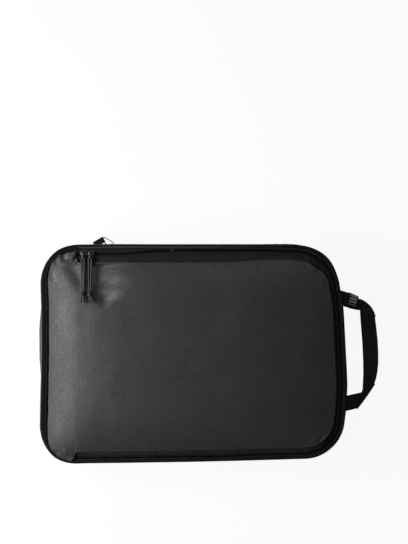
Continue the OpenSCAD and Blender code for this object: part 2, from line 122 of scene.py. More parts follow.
class Surface:
    """Builds the nodes of one material. Lengths in it are millimetres of cloth."""

    def __init__(self, name, carried=False, **values):
        self.material = bpy.data.materials.new(name)
        self.material.use_nodes = True
        self.tree = self.material.node_tree
        self.shader = self.tree.nodes["Principled BSDF"]
        for key, value in values.items():
            self.shader.inputs[key.replace("_", " ")].default_value = value
        if carried:
            coordinates = self.node("TexCoord", {})["Object"]
            self.place = self.node("VectorMath", {0: coordinates, "Scale": 1 / MM}, operation="SCALE")[0]
        else:
            self.place = self.node("Attribute", {}, attribute_name="cloth")["Vector"]
        self.x, self.y = self.node("SeparateXYZ", {0: self.place})[:2]

    def node(self, kind, sockets, **settings):
        """The outputs of a new node, whose sockets get a value or a link each."""
        made = self.tree.nodes.new("ShaderNode" + kind)
        for key, value in settings.items():
            setattr(made, key, value)
        for key, value in sockets.items():
            if isinstance(value, bpy.types.NodeSocket):
                self.tree.links.new(value, made.inputs[key])
            else:
                made.inputs[key].default_value = value
        return made.outputs

    def math(self, operation, *values):
        return self.node("Math", dict(enumerate(values)), operation=operation)[0]

    def add(self, first, *others):
        for other in others:
            first = self.math("ADD", first, other)
        return first

    def times(self, a, b):
        return self.math("MULTIPLY", a, b)

    def wave(self, coordinate, pitch):
        """A sine along a coordinate, from -1 to 1."""
        return self.math("SINE", self.times(coordinate, 2 * math.pi / pitch))

    def lines(self, coordinate, pitch, sharpness):
        """Thin raised lines a pitch apart, from 0 to 1."""
        return self.math("POWER", self.math("ABSOLUTE", self.wave(coordinate, 2 * pitch)), sharpness)

    def noise(self, size, detail=2.0, rough=0.5, stretch=(1, 1, 1)):
        """Noise with features of a size, from about 0 to 1."""
        scales = [share / size for share in stretch]
        scaled = self.node("VectorMath", {0: self.place, 1: scales}, operation="MULTIPLY")[0]
        sockets = {"Vector": scaled, "Scale": 1, "Detail": detail, "Roughness": rough}
        return self.node("TexNoise", sockets)["Fac"]

    def ramp(self, value, low, high):
        """A value's share between two limits, kept from 0 to 1."""
        return self.node("MapRange", {"Value": value, "From Min": low, "From Max": high})["Result"]

    def colour(self, share, dark, light):
        sockets = {"Factor": share, "A": (*dark, 1), "B": (*light, 1)}
        mixed = self.node("Mix", sockets, data_type="RGBA")["Result"]
        self.tree.links.new(mixed, self.shader.inputs["Base Color"])

    def rough(self, share, low, high):
        spread = self.node("MapRange", {"Value": share, "To Min": low, "To Max": high})["Result"]
        self.tree.links.new(spread, self.shader.inputs["Roughness"])

    def bump(self, height, depth):
        """Relief of a depth in millimetres."""
        relief = self.node("Bump", {"Strength": 1.0, "Distance": depth * MM, "Height": height})[0]
        self.tree.links.new(relief, self.shader.inputs["Normal"])


def grey(level, tint=(1, 1, 1)):
    """A colour of a brightness, with a slight tint."""
    return tuple(level * share for share in tint)


def ripstop(name, level, tint, low, high, sheen):
    """Thin plain weave with a doubled thread every few millimetres."""
    made = Surface(name, Specular_IOR_Level=0.62, Sheen_Weight=sheen, Sheen_Roughness=0.45)
    thread, cell = 0.62, 4.2
    weave = made.times(made.wave(made.x, thread), made.wave(made.y, thread))
    ribs = made.math("MAXIMUM", made.lines(made.x, cell, 60), made.lines(made.y, cell, 60))
    cloudy = made.noise(38, 3)
    creased = made.noise(9, 4, 0.6, (1, 0.7, 1))
    fine = made.noise(0.9, 2)
    shade = made.ramp(made.add(cloudy, made.times(fine, 0.5), made.times(ribs, -0.25)), 0.45, 1.0)
    made.colour(shade, grey(level * 0.84, tint), grey(level * 1.16, tint))
    made.rough(made.ramp(made.add(creased, made.times(weave, 0.1)), 0.25, 0.75), low, high)
    made.bump(made.add(made.times(weave, 0.02), made.times(ribs, 0.05), made.times(creased, 0.3),
                       made.times(cloudy, 0.8)), 0.6)
    return made.material


def ribbed_tape(name, level, rib, edge_lines, rough, gloss, painted_shade_edge=0.0):
    """Woven tape with ribs across it. Its edge by the chain can carry painted shade, darker over a width in
    millimetres, where the crease's shade falls.
    """
    made = Surface(name, Specular_IOR_Level=gloss, Sheen_Weight=0.01, Sheen_Roughness=0.5)
    ribs = made.wave(made.x, rib)
    warp = made.wave(made.y, edge_lines)
    worn = made.noise(14, 3)
    fibre = made.noise(0.5, 2, 0.6, (3, 1, 1))
    shade = made.ramp(made.add(worn, made.times(fibre, 0.5), made.times(ribs, 0.08)), 0.4, 1.05)
    # Painted shade: the tape darkens towards the chain, standing in for the shade in the crease.
    if painted_shade_edge:
        shade = made.times(shade, made.ramp(made.y, 0, painted_shade_edge))
    darkest = 0.15 if painted_shade_edge else 0.75
    made.colour(shade, grey(level * darkest), grey(level * 1.25, (1, 1, 1.01)))
    made.rough(fibre, *rough)
    made.bump(made.add(made.times(made.add(ribs, made.times(made.times(ribs, warp), 0.6)), 0.3),
                       made.times(fibre, 0.3), made.times(worn, 0.9)), 0.22)
    return made.material


def heavy_webbing(name, level):
    """Flat webbing: broad warp cords crossed by weft, in a chevron."""
    made = Surface(name, Specular_IOR_Level=0.25, Sheen_Weight=0.05, Sheen_Roughness=0.45)
    cord_w, pick = 1.45, 1.1
    zigzag = made.math("PINGPONG", made.y, cord_w)
    slant = made.math("ABSOLUTE", made.math("SUBTRACT", zigzag, cord_w / 2))
    chevron = made.wave(made.add(made.x, made.times(slant, 1.5)), pick)
    cords = made.math("ABSOLUTE", made.wave(made.y, 2 * cord_w))
    worn = made.noise(11, 3)
    fibre = made.noise(0.4, 2, 0.6, (1, 3, 1))
    shade = made.ramp(made.add(worn, made.times(chevron, 0.12), made.times(fibre, 0.4)), 0.35, 1.1)
    made.colour(shade, grey(level * 0.7), grey(level * 1.3))
    made.rough(fibre, 0.55, 0.75)
    made.bump(made.add(made.times(cords, 0.5), made.times(chevron, 0.35), made.times(fibre, 0.2)), 0.3)
    return made.material


def braid(name, level):
    """Round cord braided from two sets of strands."""
    made = Surface(name, Specular_IOR_Level=0.45, Sheen_Weight=0.2, Sheen_Roughness=0.4)
    lay, round_w = 1.7, 0.9
    one = made.wave(made.add(made.times(made.x, 1 / lay), made.times(made.y, 1 / round_w)), 1)
    two = made.wave(made.add(made.times(made.x, 1 / lay), made.times(made.y, -1 / round_w)), 1)
    strands = made.math("MAXIMUM", one, two)
    fibre = made.noise(0.35, 2)
    shade = made.ramp(made.add(strands, made.times(fibre, 0.8)), -0.4, 1.6)
    made.colour(shade, grey(level * 0.45), grey(level * 1.5))
    made.rough(fibre, 0.42, 0.6)
    made.bump(made.add(strands, made.times(fibre, 0.3)), 0.12)
    return made.material


def lacquer(name, level, carried=False):
    """Black lacquer over a zinc casting, rubbed a little brighter in places."""
    made = Surface(name, carried, Metallic=0.9, Specular_IOR_Level=0.5, Coat_Weight=0.8,
                   Coat_Roughness=0.12)
    rubbed = made.noise(1.6, 4, 0.65)
    grain = made.noise(0.25, 3)
    made.colour(made.ramp(rubbed, 0.42, 0.72), grey(level), grey(level * 2.6, (1, 0.99, 0.97)))
    made.rough(rubbed, 0.24, 0.46)
    made.bump(made.add(rubbed, made.times(grain, 0.4)), 0.03)
    return made.material


def coil(name, level):
    """Drawn nylon wire."""
    made = Surface(name, Specular_IOR_Level=0.5)
    drawn = made.noise(0.6, 3, 0.6, (1, 3, 1))
    made.colour(made.ramp(drawn, 0.3, 0.7), grey(level * 0.7), grey(level * 1.4))
    made.rough(drawn, 0.3, 0.45)
    made.bump(drawn, 0.04)
    return made.material


def thread(name, level, tint=(1, 1, 1), carried=False):
    """Twisted sewing thread."""
    made = Surface(name, carried, Specular_IOR_Level=0.45, Sheen_Weight=0.1)
    twist = made.wave(made.add(made.x, made.times(made.y, 0.8)), 0.55)
    fibre = made.noise(0.3, 2)
    shade = made.ramp(made.add(twist, fibre), -0.6, 1.6)
    made.colour(shade, grey(level * 0.6, tint), grey(level * 1.4, tint))
    made.rough(fibre, 0.4, 0.6)
    made.bump(twist, 0.05)
    return made.material


def satin(name, level, tint):
    """Smooth woven satin, for the tag and the label."""
    made = Surface(name, Specular_IOR_Level=0.4, Sheen_Weight=0.15)
    warp = made.wave(made.x, 0.34)
    weft = made.wave(made.y, 0.5)
    cloudy = made.noise(5, 3)
    shade = made.ramp(made.add(cloudy, made.times(warp, 0.08)), 0.3, 0.8)
    made.colour(shade, grey(level * 0.82, tint), grey(level * 1.12, tint))
    made.rough(cloudy, 0.38, 0.52)
    made.bump(made.add(made.times(warp, 0.4), made.times(weft, 0.3), cloudy), 0.06)
    return made.material


PURPLE = (1.03, 0.93, 1.08)
FRONT_CLOTH = ripstop("ripstop_front", 0.021, PURPLE, 0.40, 0.48, 0.05)
# The walls' cloth is a darker copy of the front's ripstop, painted shade that keeps the wall facing the key
# lamp from reading too bright.
WALL_CLOTH_PAINTED_SHADE = ripstop("ripstop_wall", 0.012, PURPLE, 0.50, 0.60, 0.02)
LINING = ripstop("expansion_cloth", 0.016, (1, 0.98, 1.03), 0.5, 0.6, 0.05)
BINDING = ribbed_tape("binding", 0.0032, 0.9, 0.7, (0.7, 0.85), 0.08)
# The last value paints the crease's shade on this tape by the chain, over 5 mm.
ZIP_TAPE = ribbed_tape("zip_tape", 0.009, 0.7, 1.1, (0.55, 0.7), 0.13, 5.0)
WAIST_TAPE = ribbed_tape("waist_tape", 0.0065, 0.7, 1.1, (0.55, 0.7), 0.16)
WEBBING = heavy_webbing("webbing", 0.034)
TAB_WEBBING = heavy_webbing("pull_tab", 0.004)
# One cord in two copies: pull_cord is painted lighter for the strands' highlights, and
# knot_cord_painted_shade is painted darker for the shade in the knot's tight wraps and its tails.
CORD_PAINTED_HIGHLIGHT = braid("pull_cord", 0.024)
KNOT_CORD_PAINTED_SHADE = braid("knot_cord_painted_shade", 0.0045)
SLIDER = lacquer("slider", 0.035)
LINK = lacquer("link", 0.030, carried=True)
COIL = coil("zip_coil", 0.010)
STOP = thread("zip_stop", 0.010, carried=True)
THREAD = thread("thread", 0.014)
SEAM_THREAD = thread("seam_thread", 0.028, PURPLE)
TAG = satin("tag", 0.005, (1, 1, 1.02))
TAG_MARK = satin("tag_mark", 0.72, (1, 1, 0.99))
LABEL = satin("label", 0.70, (1, 0.985, 0.95))

# ---------------- the outline

ARC = math.pi / 2 * CORNER_R
RUN_X, RUN_Y = 2 * (HALF_W - CORNER_R), 2 * (HALF_H - CORNER_R)
LEGS = [RUN_X, ARC, RUN_Y, ARC, RUN_X, ARC, RUN_Y, ARC]
STARTS = [sum(LEGS[:i]) for i in range(len(LEGS) + 1)]
LOOP = STARTS[-1]
RIGHT_LEG, TOP_LEG, LEFT_LEG = 2, 4, 6
# Where the zip starts and ends along the outline, which is measured from the bottom edge's left end
ZIP_START = STARTS[TOP_LEG] + HALF_W - CORNER_R - ZIP_START_X
ZIP_END = HALF_W - CORNER_R + ZIP_END_X - TAB_LAP


def smooth(t):
    """Eases from 0 to 1 as t does."""
    t = min(max(t, 0.0), 1.0)
    return t * t * (3 - 2 * t)


def place(s, inset):
    """A point of the outline drawn in by inset, at a distance s along it."""
    s %= LOOP
    leg = 0
    while leg < len(LEGS) - 1 and s > STARTS[leg + 1]:
        leg += 1
    share = (s - STARTS[leg]) / LEGS[leg]
    r = max(CORNER_R - inset, MIN_R)
    cx, cy = HALF_W - inset - r, HALF_H - inset - r
    corners = [(cx, -cy), (cx, cy), (-cx, cy), (-cx, -cy)]
    side = leg // 2
    bx, by = corners[side]
    if leg % 2:
        turn = math.pi / 2 * (side - 1 + share)
        return bx + r * math.cos(turn), by + r * math.sin(turn)
    ax, ay = corners[side - 1]
    turn = math.pi / 2 * (side - 1)
    return (ax + (bx - ax) * share + r * math.cos(turn), ay + (by - ay) * share + r * math.sin(turn))


def where(x, y):
    """The place along the outline and the inset of a point, which undoes place."""
    right, up = abs(x) - (HALF_W - CORNER_R), abs(y) - (HALF_H - CORNER_R)
    if right > 0 and up > 0:
        leg = {(True, False): 1, (True, True): 3, (False, True): 5, (False, False): 7}[x > 0, y > 0]
        share = math.atan2(up, right) / (math.pi / 2)
        share = 1 - share if leg in (1, 5) else share
        return STARTS[leg] + ARC * share, CORNER_R - math.hypot(right, up)
    if HALF_W - abs(x) < HALF_H - abs(y):
        along = RUN_Y / 2 + (y if x > 0 else -y)
        return STARTS[RIGHT_LEG if x > 0 else LEFT_LEG] + along, HALF_W - abs(x)
    along = RUN_X / 2 + (x if y < 0 else -x)
    return STARTS[TOP_LEG if y > 0 else 0] + along, HALF_H - abs(y)


def eased(points):
    """A smooth curve near a few [place, value] points, as a function."""
    places = np.arange(-230, 231)
    values = np.interp(places, *zip(*points))
    kernel = np.hanning(EASING + 2)
    padded = np.pad(values, len(kernel) // 2, mode="edge")
    values = np.convolve(padded, kernel / kernel.sum(), mode="valid")[: len(places)]
    return lambda at: float(np.interp(at, places, values))


# How the soft body has slumped out of its even outline, as [place along the edge, shift]
slump_right = eased([(-127, -3), (-98, -4.2), (-80, -3.4), (-69, -1.8), (-35, 0), (-7, -1.4), (20, -2.8),
                     (48, -4.2), (65, -6), (80, -9), (98, -10), (113, -7.2), (127, -3)])
slump_left = eased([(-127, -1), (-108, 0), (-95, 0.4), (-75, 0.9), (-50, 1.4), (-20, 2.1), (0, 2.3),
                    (50, 2.3), (75, 1.6), (95, 1.2), (127, 0)])
slump_top = eased([(-177, 0), (-155, 0), (-139, -1.6), (-125, -1.4), (-95, -0.9), (0, -0.9), (118, -0.9),
                   (127, -2.0), (136, -3.8), (149, -5.6), (164, -6.4), (177, -6)])
slump_bottom = eased([(-177, -1), (-163, -2), (-150, -0.2), (-131, 1.4), (-80, 2), (0, 3.2), (60, 4.6),
                      (100, 5.8), (123, 6.4), (137, 6.8), (151, 7), (165, 7.4), (177, 6)])


def slump(x, y):
    """Where a point of the even outline lies on the slumped body."""
    wide = smooth((abs(x) - 70) / (HALF_W - 70))
    high = smooth((abs(y) - 40) / (HALF_H - 40))
    return (x + wide * (slump_right(y) if x > 0 else slump_left(y)),
            y + high * (slump_top(x) if y > 0 else slump_bottom(x)))


def by_side(bottom, right, top, left):
    """A value of the outline that differs by side and turns smoothly at the corners."""
    middles = [STARTS[leg] + ARC / 2 for leg in (1, 3, 5, 7)]
    values = [bottom, right, top, left, bottom]

    def value(s):
        s %= LOOP
        out = values[0]
        for middle, before, after in zip(middles, values, values[1:]):
            out += (after - before) * smooth((s - middle) / CORNER_EASE + 0.5)
        return out

    return value


PARKED_IN = 10.5  # inset of the zip's chain past the parked sliders
SEAM_ALLOWANCE = 1.3  # from the panel's edge to its stitches
PANEL_BOTTOM_IN, PANEL_RIGHT_IN, PANEL_TOP_IN = 12.6, 11.8, 20.2
PANEL_CREEP = 3.0  # how much nearer the zip the panel comes at the top right
TOP_BINDING_W = 1.8  # where the top binding is tucked under the zip's tape
chain_side = by_side(5.0, 4.4, 6.6, PARKED_IN)
binding_side = by_side(2.6, 1.8, 8.0, 8.0)
binding_out = by_side(-0.5, -0.5, -0.5, 0.7)
outer_roll = by_side(0.3, 0.2, 0.9, 0.9)  # rise of the outer tape between its edges
panel_side = by_side(PANEL_BOTTOM_IN, PANEL_RIGHT_IN, PANEL_TOP_IN, PANEL_TOP_IN)
leftness = by_side(0, 0, 0, 1)


def on_top(s):
    """Whether a place lies on the top edge or near its right end."""
    return STARTS[TOP_LEG] - 60 < s % LOOP < STARTS[LEFT_LEG]


def panel_in(s):
    """Inset of the flap's sewn edge, which comes nearer the zip towards the top right corner."""
    nearer = PANEL_CREEP * smooth((place(s, 0)[0] - 25) / 65) if on_top(s) else 0
    return min(panel_side(s), PANEL_TOP_IN - nearer)


def chain_in(s):
    """Inset of the main zip's centre line, which wanders, but is calm where the sliders are parked."""
    parked = smooth((-38 - place(s, 0)[0]) / 50) if on_top(s) else 0
    wander = 0.55 * ripple(s, 45, 41) * smooth(abs(s - ZIP_START + 12) / 45)
    return chain_side(s) + (PARKED_IN - chain_side(s)) * parked + wander


def binding_w(s):
    """Width of the front binding, broad where there is no zip and narrower at the spine's lower end."""
    corner = STARTS[5] + ARC / 2
    wide = binding_side(s) - 4.6 * smooth((-84 - place(s, 0)[1]) / 30) * leftness(s)
    wide -= 2.4 * math.exp(-((s % LOOP - corner) / 24) ** 2)
    if on_top(s):
        wide = min(wide, TOP_BINDING_W + (wide - TOP_BINDING_W) * smooth((s % LOOP - ZIP_START + 3) / 9))
    return wide


def rear_bulge(s):
    """How far the rear wall swells past its outline, most where the clothes lean on the spine."""
    y = place(s, 0)[1]
    return 0.9 + 4.6 * leftness(s) * smooth((82 - y) / 60) * smooth((y + 60) / 60)


def unzipped(s):
    """1 on the left stretch, which has no zip, and 0 where the zip runs."""
    s %= LOOP
    step = 4.5
    past_start = smooth((s - ZIP_START) / step)
    before_end = 1 - smooth(((s - LOOP if s > ZIP_START else s) - ZIP_END + step) / step)
    return past_start * before_end if s > LOOP / 2 else before_end


def stations(step, start=0.0, end=LOOP):
    """Distances along the outline, about a step apart."""
    return np.linspace(start, end, max(2, round((end - start) / step)) + 1).tolist()


def ripple(s, size, seed=0.0):
    """Soft noise along the outline, from -1 to 1, which closes on itself."""
    turn = 2 * math.pi * s / LOOP
    r = LOOP / (2 * math.pi * size)
    return noise.noise(Vector((r * math.cos(turn) + 17 * seed, r * math.sin(turn), 3.1 * seed)))


# ---------------- mesh


class Shape:
    """Points in millimetres, faces, and where each face's corners lie on the flat cloth."""

    def __init__(self):
        self.points, self.faces, self.cloth = [], [], []

    def grid(self, rows, u, v, wrap=False, around=False, caps=False):
        """A grid of points. u places each row and v each point, with one more where the grid wraps."""
        first = len(self.points)
        n, m = len(rows), len(rows[0])
        for row in rows:
            self.points.extend(row)
        for i in range(n if wrap else n - 1):
            for j in range(m if around else m - 1):
                corners = [(i, j), (i, j + 1), (i + 1, j + 1), (i + 1, j)]
                self.faces.append([first + (a % n) * m + b % m for a, b in corners])
                self.cloth.extend((u[a], v[b], 0) for a, b in corners)
        if caps:
            for row, order in ((0, range(m - 1, -1, -1)), (n - 1, range(m))):
                self.faces.append([first + row * m + j for j in order])
                self.cloth.extend((u[row], v[j], 0) for j in order)

    def tube(self, path, radius, sides=10):
        """A round tube along a path. radius is a number, or one for each point."""
        path = [Vector(p) for p in path]
        n = len(path)
        radii = radius if isinstance(radius, (list, tuple)) else [radius] * n
        side = None
        rows, u = [], [0.0]
        for i, p in enumerate(path):
            way = (path[min(i + 1, n - 1)] - path[max(i - 1, 0)]).normalized()
            if side is None:
                side = way.orthogonal().normalized()
            side = (side - way * side.dot(way)).normalized()
            up = way.cross(side)
            rows.append([p + radii[i] * (math.cos(a) * side + math.sin(a) * up)
                         for a in (2 * math.pi * k / sides for k in range(sides))])
            u.append(u[-1] + (path[(i + 1) % n] - p).length)
        v = [2 * math.pi * max(radii) * k / sides for k in range(sides + 1)]
        self.grid(rows, u, v, around=True, caps=True)

    def stitch(self, a, b, up, radius):
        """One stitch of thread, its ends sunk in the cloth."""
        middle, rise = (a + b) / 2, up * radius * 0.7
        path = [a - rise, a + (middle - a) * 0.35 + rise, b + (middle - b) * 0.35 + rise, b - rise]
        self.tube(path, [radius * 0.5, radius, radius, radius * 0.5], 5)

    def stitches(self, points, up, pitch, radius):
        """A row of stitches along a line of points. up is one direction, or one for each point."""
        points = [Vector(p) for p in points]
        lengths = [0.0]
        for a, b in zip(points, points[1:]):
            lengths.append(lengths[-1] + (b - a).length)
        ups = up if isinstance(up, list) else [Vector(up)] * len(points)
        places = np.array([list(p) for p in points])
        heads = np.array([list(d) for d in ups])

        def at(s, table):
            return Vector([float(np.interp(s, lengths, table[:, k])) for k in range(3)])

        count = max(1, int(lengths[-1] / pitch))
        for i in range(count):
            s = (i + 0.5) * lengths[-1] / count
            half = pitch * 0.36
            self.stitch(at(s - half, places), at(s + half, places), at(s, heads), radius)

    def ribbon(self, rows):
        """A strip through rows of [one edge, other edge], with points across it."""
        across = 5
        grid, u = [], [0.0]
        for a, b in rows:
            grid.append([Vector(a).lerp(Vector(b), k / across) for k in range(across + 1)])
        for before, after in zip(grid, grid[1:]):
            u.append(u[-1] + max((after[0] - before[0]).length, (after[-1] - before[-1]).length))
        width = (Vector(rows[0][0]) - Vector(rows[0][1])).length
        self.grid(grid, u, [width * k / across for k in range(across + 1)])

    def prism(self, outline, low, high, taper=0.0):
        """An outline [x, y] between two heights, its edges drawn in by taper at both ends."""
        centre = np.mean(outline, axis=0)
        levels = [(low + (high - low) * up, 1 if 0 < up < 1 else 1 - taper) for up in (0, 0.25, 0.75, 1)]
        rows = [[(*(centre + (np.array(p) - centre) * size), z) for p in outline] for z, size in levels]
        around = [0.0]
        for a, b in zip(outline, outline[1:] + outline[:1]):
            around.append(around[-1] + math.dist(a, b))
        self.grid(rows, [z for z, _ in levels], around, around=True, caps=True)

    def moved(self, matrix):
        self.points = [matrix @ Vector(p) for p in self.points]
        return self


def settle(obj):
    """Applies an object's modifiers to its mesh."""
    graph = bpy.context.evaluated_depsgraph_get()
    mesh = bpy.data.meshes.new_from_object(obj.evaluated_get(graph), preserve_all_data_layers=True,
                                           depsgraph=graph)
    obj.modifiers.clear()
    obj.data = mesh


def make(name, shape, material, body=None, blend=None, replaces=(), thick=0.0, bevel=0.0):
    """Makes a piece of a shape, and lets it ride on a body; a piece given a blend is baked in place instead.
    """
    mesh = bpy.data.meshes.new(name)
    mesh.from_pydata([tuple(c * MM for c in p) for p in shape.points], [], shape.faces)
    cloth = mesh.attributes.new("cloth", "FLOAT_VECTOR", "CORNER")
    cloth.data.foreach_set("vector", np.array(shape.cloth, np.float32).ravel())
    mesh.validate(clean_customdata=False)
    mesh.update()
    mesh.materials.append(material)
    obj = bpy.data.objects.new(name, mesh)
    bpy.context.scene.collection.objects.link(obj)
    if thick:
        solid = obj.modifiers.new("thick", "SOLIDIFY")
        solid.thickness = thick * MM
        solid.offset = 0
        solid.use_even_offset = False
    if bevel:
        edges = obj.modifiers.new("bevel", "BEVEL")
        edges.width = bevel * MM
        edges.segments = 2
        edges.limit_method = "ANGLE"
    if obj.modifiers:
        settle(obj)
    for face in obj.data.polygons:
        face.use_smooth = True
    if replaces:
        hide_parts(*replaces)
    if blend:
        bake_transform(obj)
    elif body:
        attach(obj, body)
    return obj


def sweep(shape, places, section, closed=False):
    """Adds a profile swept along the outline. section(s) gives the closed profile as (inset, z) points."""
    profiles = [section(s) for s in places]
    rows = [[(*slump(*place(s, inset)), z) for inset, z in profile] for s, profile in zip(places, profiles)]
    run = [0.0]
    for a, b in zip(profiles[0], profiles[0][1:] + profiles[0][:1]):
        run.append(run[-1] + math.dist(a, b))
    shape.grid(rows[:-1] if closed else rows, places, run, wrap=closed, around=True, caps=not closed)
    return shape


HINGE_SPAN = 11  # half width of the cloth that bends when the flap folds
FLAP_BEND = ("front_half", "flap", ((FOLD_X - HINGE_SPAN) * MM, 0, 0), ((FOLD_X + HINGE_SPAN) * MM, 0, 0))

# ---------------- cords

PULL_SLOPE = math.radians(8.2)
CORD_D = 0.0017
BIGHT_AT, BIGHT_R = 0.00455, 0.0015  # where the cord turns round its link, from the slider's bar
# The route past the turn, in metres: [half spread, distance from the bar]
CORD_ROUTE = [[0.0015, 0.010], [0.0015, 0.015], [0.0015, 0.020], [0.0014, 0.025], [0.0013, 0.030],
              [0.0012, 0.035], [0.0011, 0.040], [0.0011, 0.0445]]
KNOT_AT, KNOT_L, TAIL_L = 44.5, 5.5, 7.5


def pull_matrix(joint):
    """The pull's own frame, in metres: X along the zip, -Y out along the pull."""
    return Matrix.Translation(joint_place(joint) * MM) @ Matrix.Rotation(-PULL_SLOPE, 4, "X")


def strand_route(side):
    """One strand of the loop in the pull's frame, from the middle of its turn to the knot."""
    turn = [math.radians(a) for a in (0, 22.5, 45, 67.5, 90)]
    route = [(BIGHT_R * math.sin(a), -BIGHT_AT - BIGHT_R * (1 - math.cos(a)), 0) for a in turn]
    route += [(x, -y, 0) for x, y in CORD_ROUTE]
    return [Vector((side * x, y, z)) for x, y, z in route]


def finer(route, parts=4):
    """Points on a smooth curve through a route."""
    out = []
    for i in range(len(route) - 1):
        a, b = route[max(i - 1, 0)], route[i]
        c, d = route[i + 1], route[min(i + 2, len(route) - 1)]
        for k in range(parts):
            t = k / parts
            out.append(0.5 * ((2 * b) + (c - a) * t + (2 * a - 5 * b + 4 * c - d) * t * t
                              + (3 * b - a - 3 * c + d) * t ** 3))
    return out + [route[-1]]


def knot_shape(spread):
    """A stopper knot round both strands, with two tails. spread turns each tail out, in degrees."""
    shape = Shape()
    r = CORD_D / MM / 2
    wrap_r, turns, steps = 1.85, 2.7, 54
    wraps = []
    for i in range(steps + 1):
        share = i / steps
        a = 2 * math.pi * turns * share + 0.6
        wraps.append((wrap_r * math.cos(a), -KNOT_AT - 0.9 - (KNOT_L - 1.8) * share, wrap_r * math.sin(a)))
    inner = [(0.2, -KNOT_AT - 1.6, 0.3)]
    shape.tube(inner + wraps + [(-0.3, -KNOT_AT - KNOT_L + 1.2, 0.2)], r)
    across = [(-1.6, -KNOT_AT - 0.6, 1.0), (-0.9, -KNOT_AT - 1.6, 2.1), (0.4, -KNOT_AT - 3.0, 2.3),
              (1.4, -KNOT_AT - 4.2, 1.5), (1.3, -KNOT_AT - 4.9, 0.4)]
    shape.tube(finer([Vector(p) for p in across]), r * 0.95)
    core = [(0, -KNOT_AT - along, 0) for along in (0.2, KNOT_L / 2, KNOT_L - 0.3)]
    shape.tube(core, 1.35, 12)
    for i, angle in enumerate(spread):
        start = Vector(((i - 0.5) * 2.2, -KNOT_AT - KNOT_L + 1, 0))
        way = Vector((math.sin(math.radians(angle)), -math.cos(math.radians(angle)), 0))
        curl = Vector(((i - 0.5) * 0.25, 0, -0.25))
        path = [start + way * d + curl * (d / TAIL_L) ** 2 for d in np.linspace(0, TAIL_L + 1, 9)]
        tip = path[-1]
        path += [tip + way * 0.15]
        shape.tube(path, [r] * 7 + [r * 1.02, r * 1.12, r * 0.7])
    return shape


def add_pull(side, tails):
    """A slider's cord pull: two strands and the knot that joins them."""
    matrix = pull_matrix(side + "_pull_lift")
    body = side + "_pull"
    in_mm = Matrix.Scale(1 / MM, 4) @ matrix @ Matrix.Scale(MM, 4)
    knot = make(f"knot_{side}", knot_shape(tails).moved(in_mm), KNOT_CORD_PAINTED_SHADE, body,
                replaces=[f"pull_knot_{side}"])
    for letter, hand in (("a", -1), ("b", 1)):
        route = [matrix @ p for p in finer(strand_route(hand))]
        shape = Shape()
        shape.tube([p / MM for p in route], CORD_D / MM / 2, 12)
        strand = make(f"cord_{side}_{letter}", shape, CORD_PAINTED_HIGHLIGHT, body, replaces=[f"pull_cord_{side}_{letter}"])
        length = sum((b - a).length for a, b in zip(route, route[1:]))
        tuple(route[0])
        [tuple(p) for p in route]


add_pull("left", (-3, 3))
add_pull("right", (10, 20))

# ---------------- front panel

# Folds in the cloth, each [x, y] to [x, y], with its width to each side and its rise
FOLDS = [
    ((-150.4, 121), (-150.0, 105), 1.7, 8, -2.0), ((-145.5, 121), (-144.5, 106), 2.4, 2.6, 0.3),
    ((-131.5, 118), (-139.5, 108), 1.1, 1.6, -2.2), ((-129.5, 114), (-135.5, 104), 1.1, 1.6, -1.4),
    ((-156, 116), (-160, 101), 1.6, 4.5, -0.6), ((-145, 109), (-123, 71), 7.0, 9.0, -1.7),
    ((-164, 98), (-161, 80), 2.4, 2.4, -0.3), ((-117.5, 110), (-114, 70), 5.6, 30, -5.4),
    ((-113, 80), (-98, 54), 5.0, 18, -3.0), ((145.5, 113), (155.5, 99), 1.8, 1.8, -2.4),
    ((140, 109), (150, 98), 4, 4, 0.5), ((154, 92), (161, 78), 2.4, 2.4, 0.5),
    ((-148, -108), (-146, -117), 1.8, 2.2, 0.4), ((-162, -109), (-152, -116), 2, 2, -0.5),
    ((138, -106), (150, -100), 2.6, 2.6, 0.4), ((146, -109), (156, -96), 2, 2, -0.7),
    ((-60, 104), (-63, 96), 2.2, 2.2, 0.35), ((20, 104), (24, 95), 2.4, 2.4, 0.4),
    ((75, 104), (70, 94), 2.8, 2.8, 0.45),
]


def folded(x, y):
    """Rise of the folds at a point of the front."""
    total = 0.0
    for (ax, ay), (bx, by), left_w, right_w, rise in FOLDS:
        length = math.hypot(bx - ax, by - ay)
        ux, uy = (bx - ax) / length, (by - ay) / length
        along, across = (x - ax) * ux + (y - ay) * uy, (x - ax) * -uy + (y - ay) * ux
        width = right_w if across > 0 else left_w
        if abs(across) < 3 * width and 0 < along < length:
            across += 0.5 * math.sin(along / 4.0 + ax)
            share = along / length
            fade = smooth(share / 0.3) * smooth((1 - share) / 0.35)
            total += rise * math.exp(-(across / width) ** 2) * fade
    return total


def crown(x, y):
    """Rise of the clothes under the front panel, from the flap's hem, and from the seam by the spine."""
    spine = smooth((-95 - x) / 65)
    seam = HALF_H - SEAM_BY_SPINE
    hem = HALF_H - (PANEL_TOP_IN - PANEL_CREEP if y > 0 else PANEL_BOTTOM_IN)
    lean = 0.6 + 0.4 * smooth((x + HALF_W - 6) / 38)
    wide = max(0.0, 1 - abs(x / (HALF_W - SEAM_BY_SPINE)) ** 3) * lean
    high = max(0.0, 1 - abs(y / (hem + (seam - hem) * spine)) ** (4.6 + 3.4 * spine))
    return CROWN_H * wide * high


def panel_edge(s):
    """Inset of the front panel's edge: under the binding by the spine, and on the flap's tape elsewhere."""
    lapped = binding_w(s) - EDGE_LAP
    return panel_in(s) + (lapped - panel_in(s)) * min(1.0, unzipped(s))


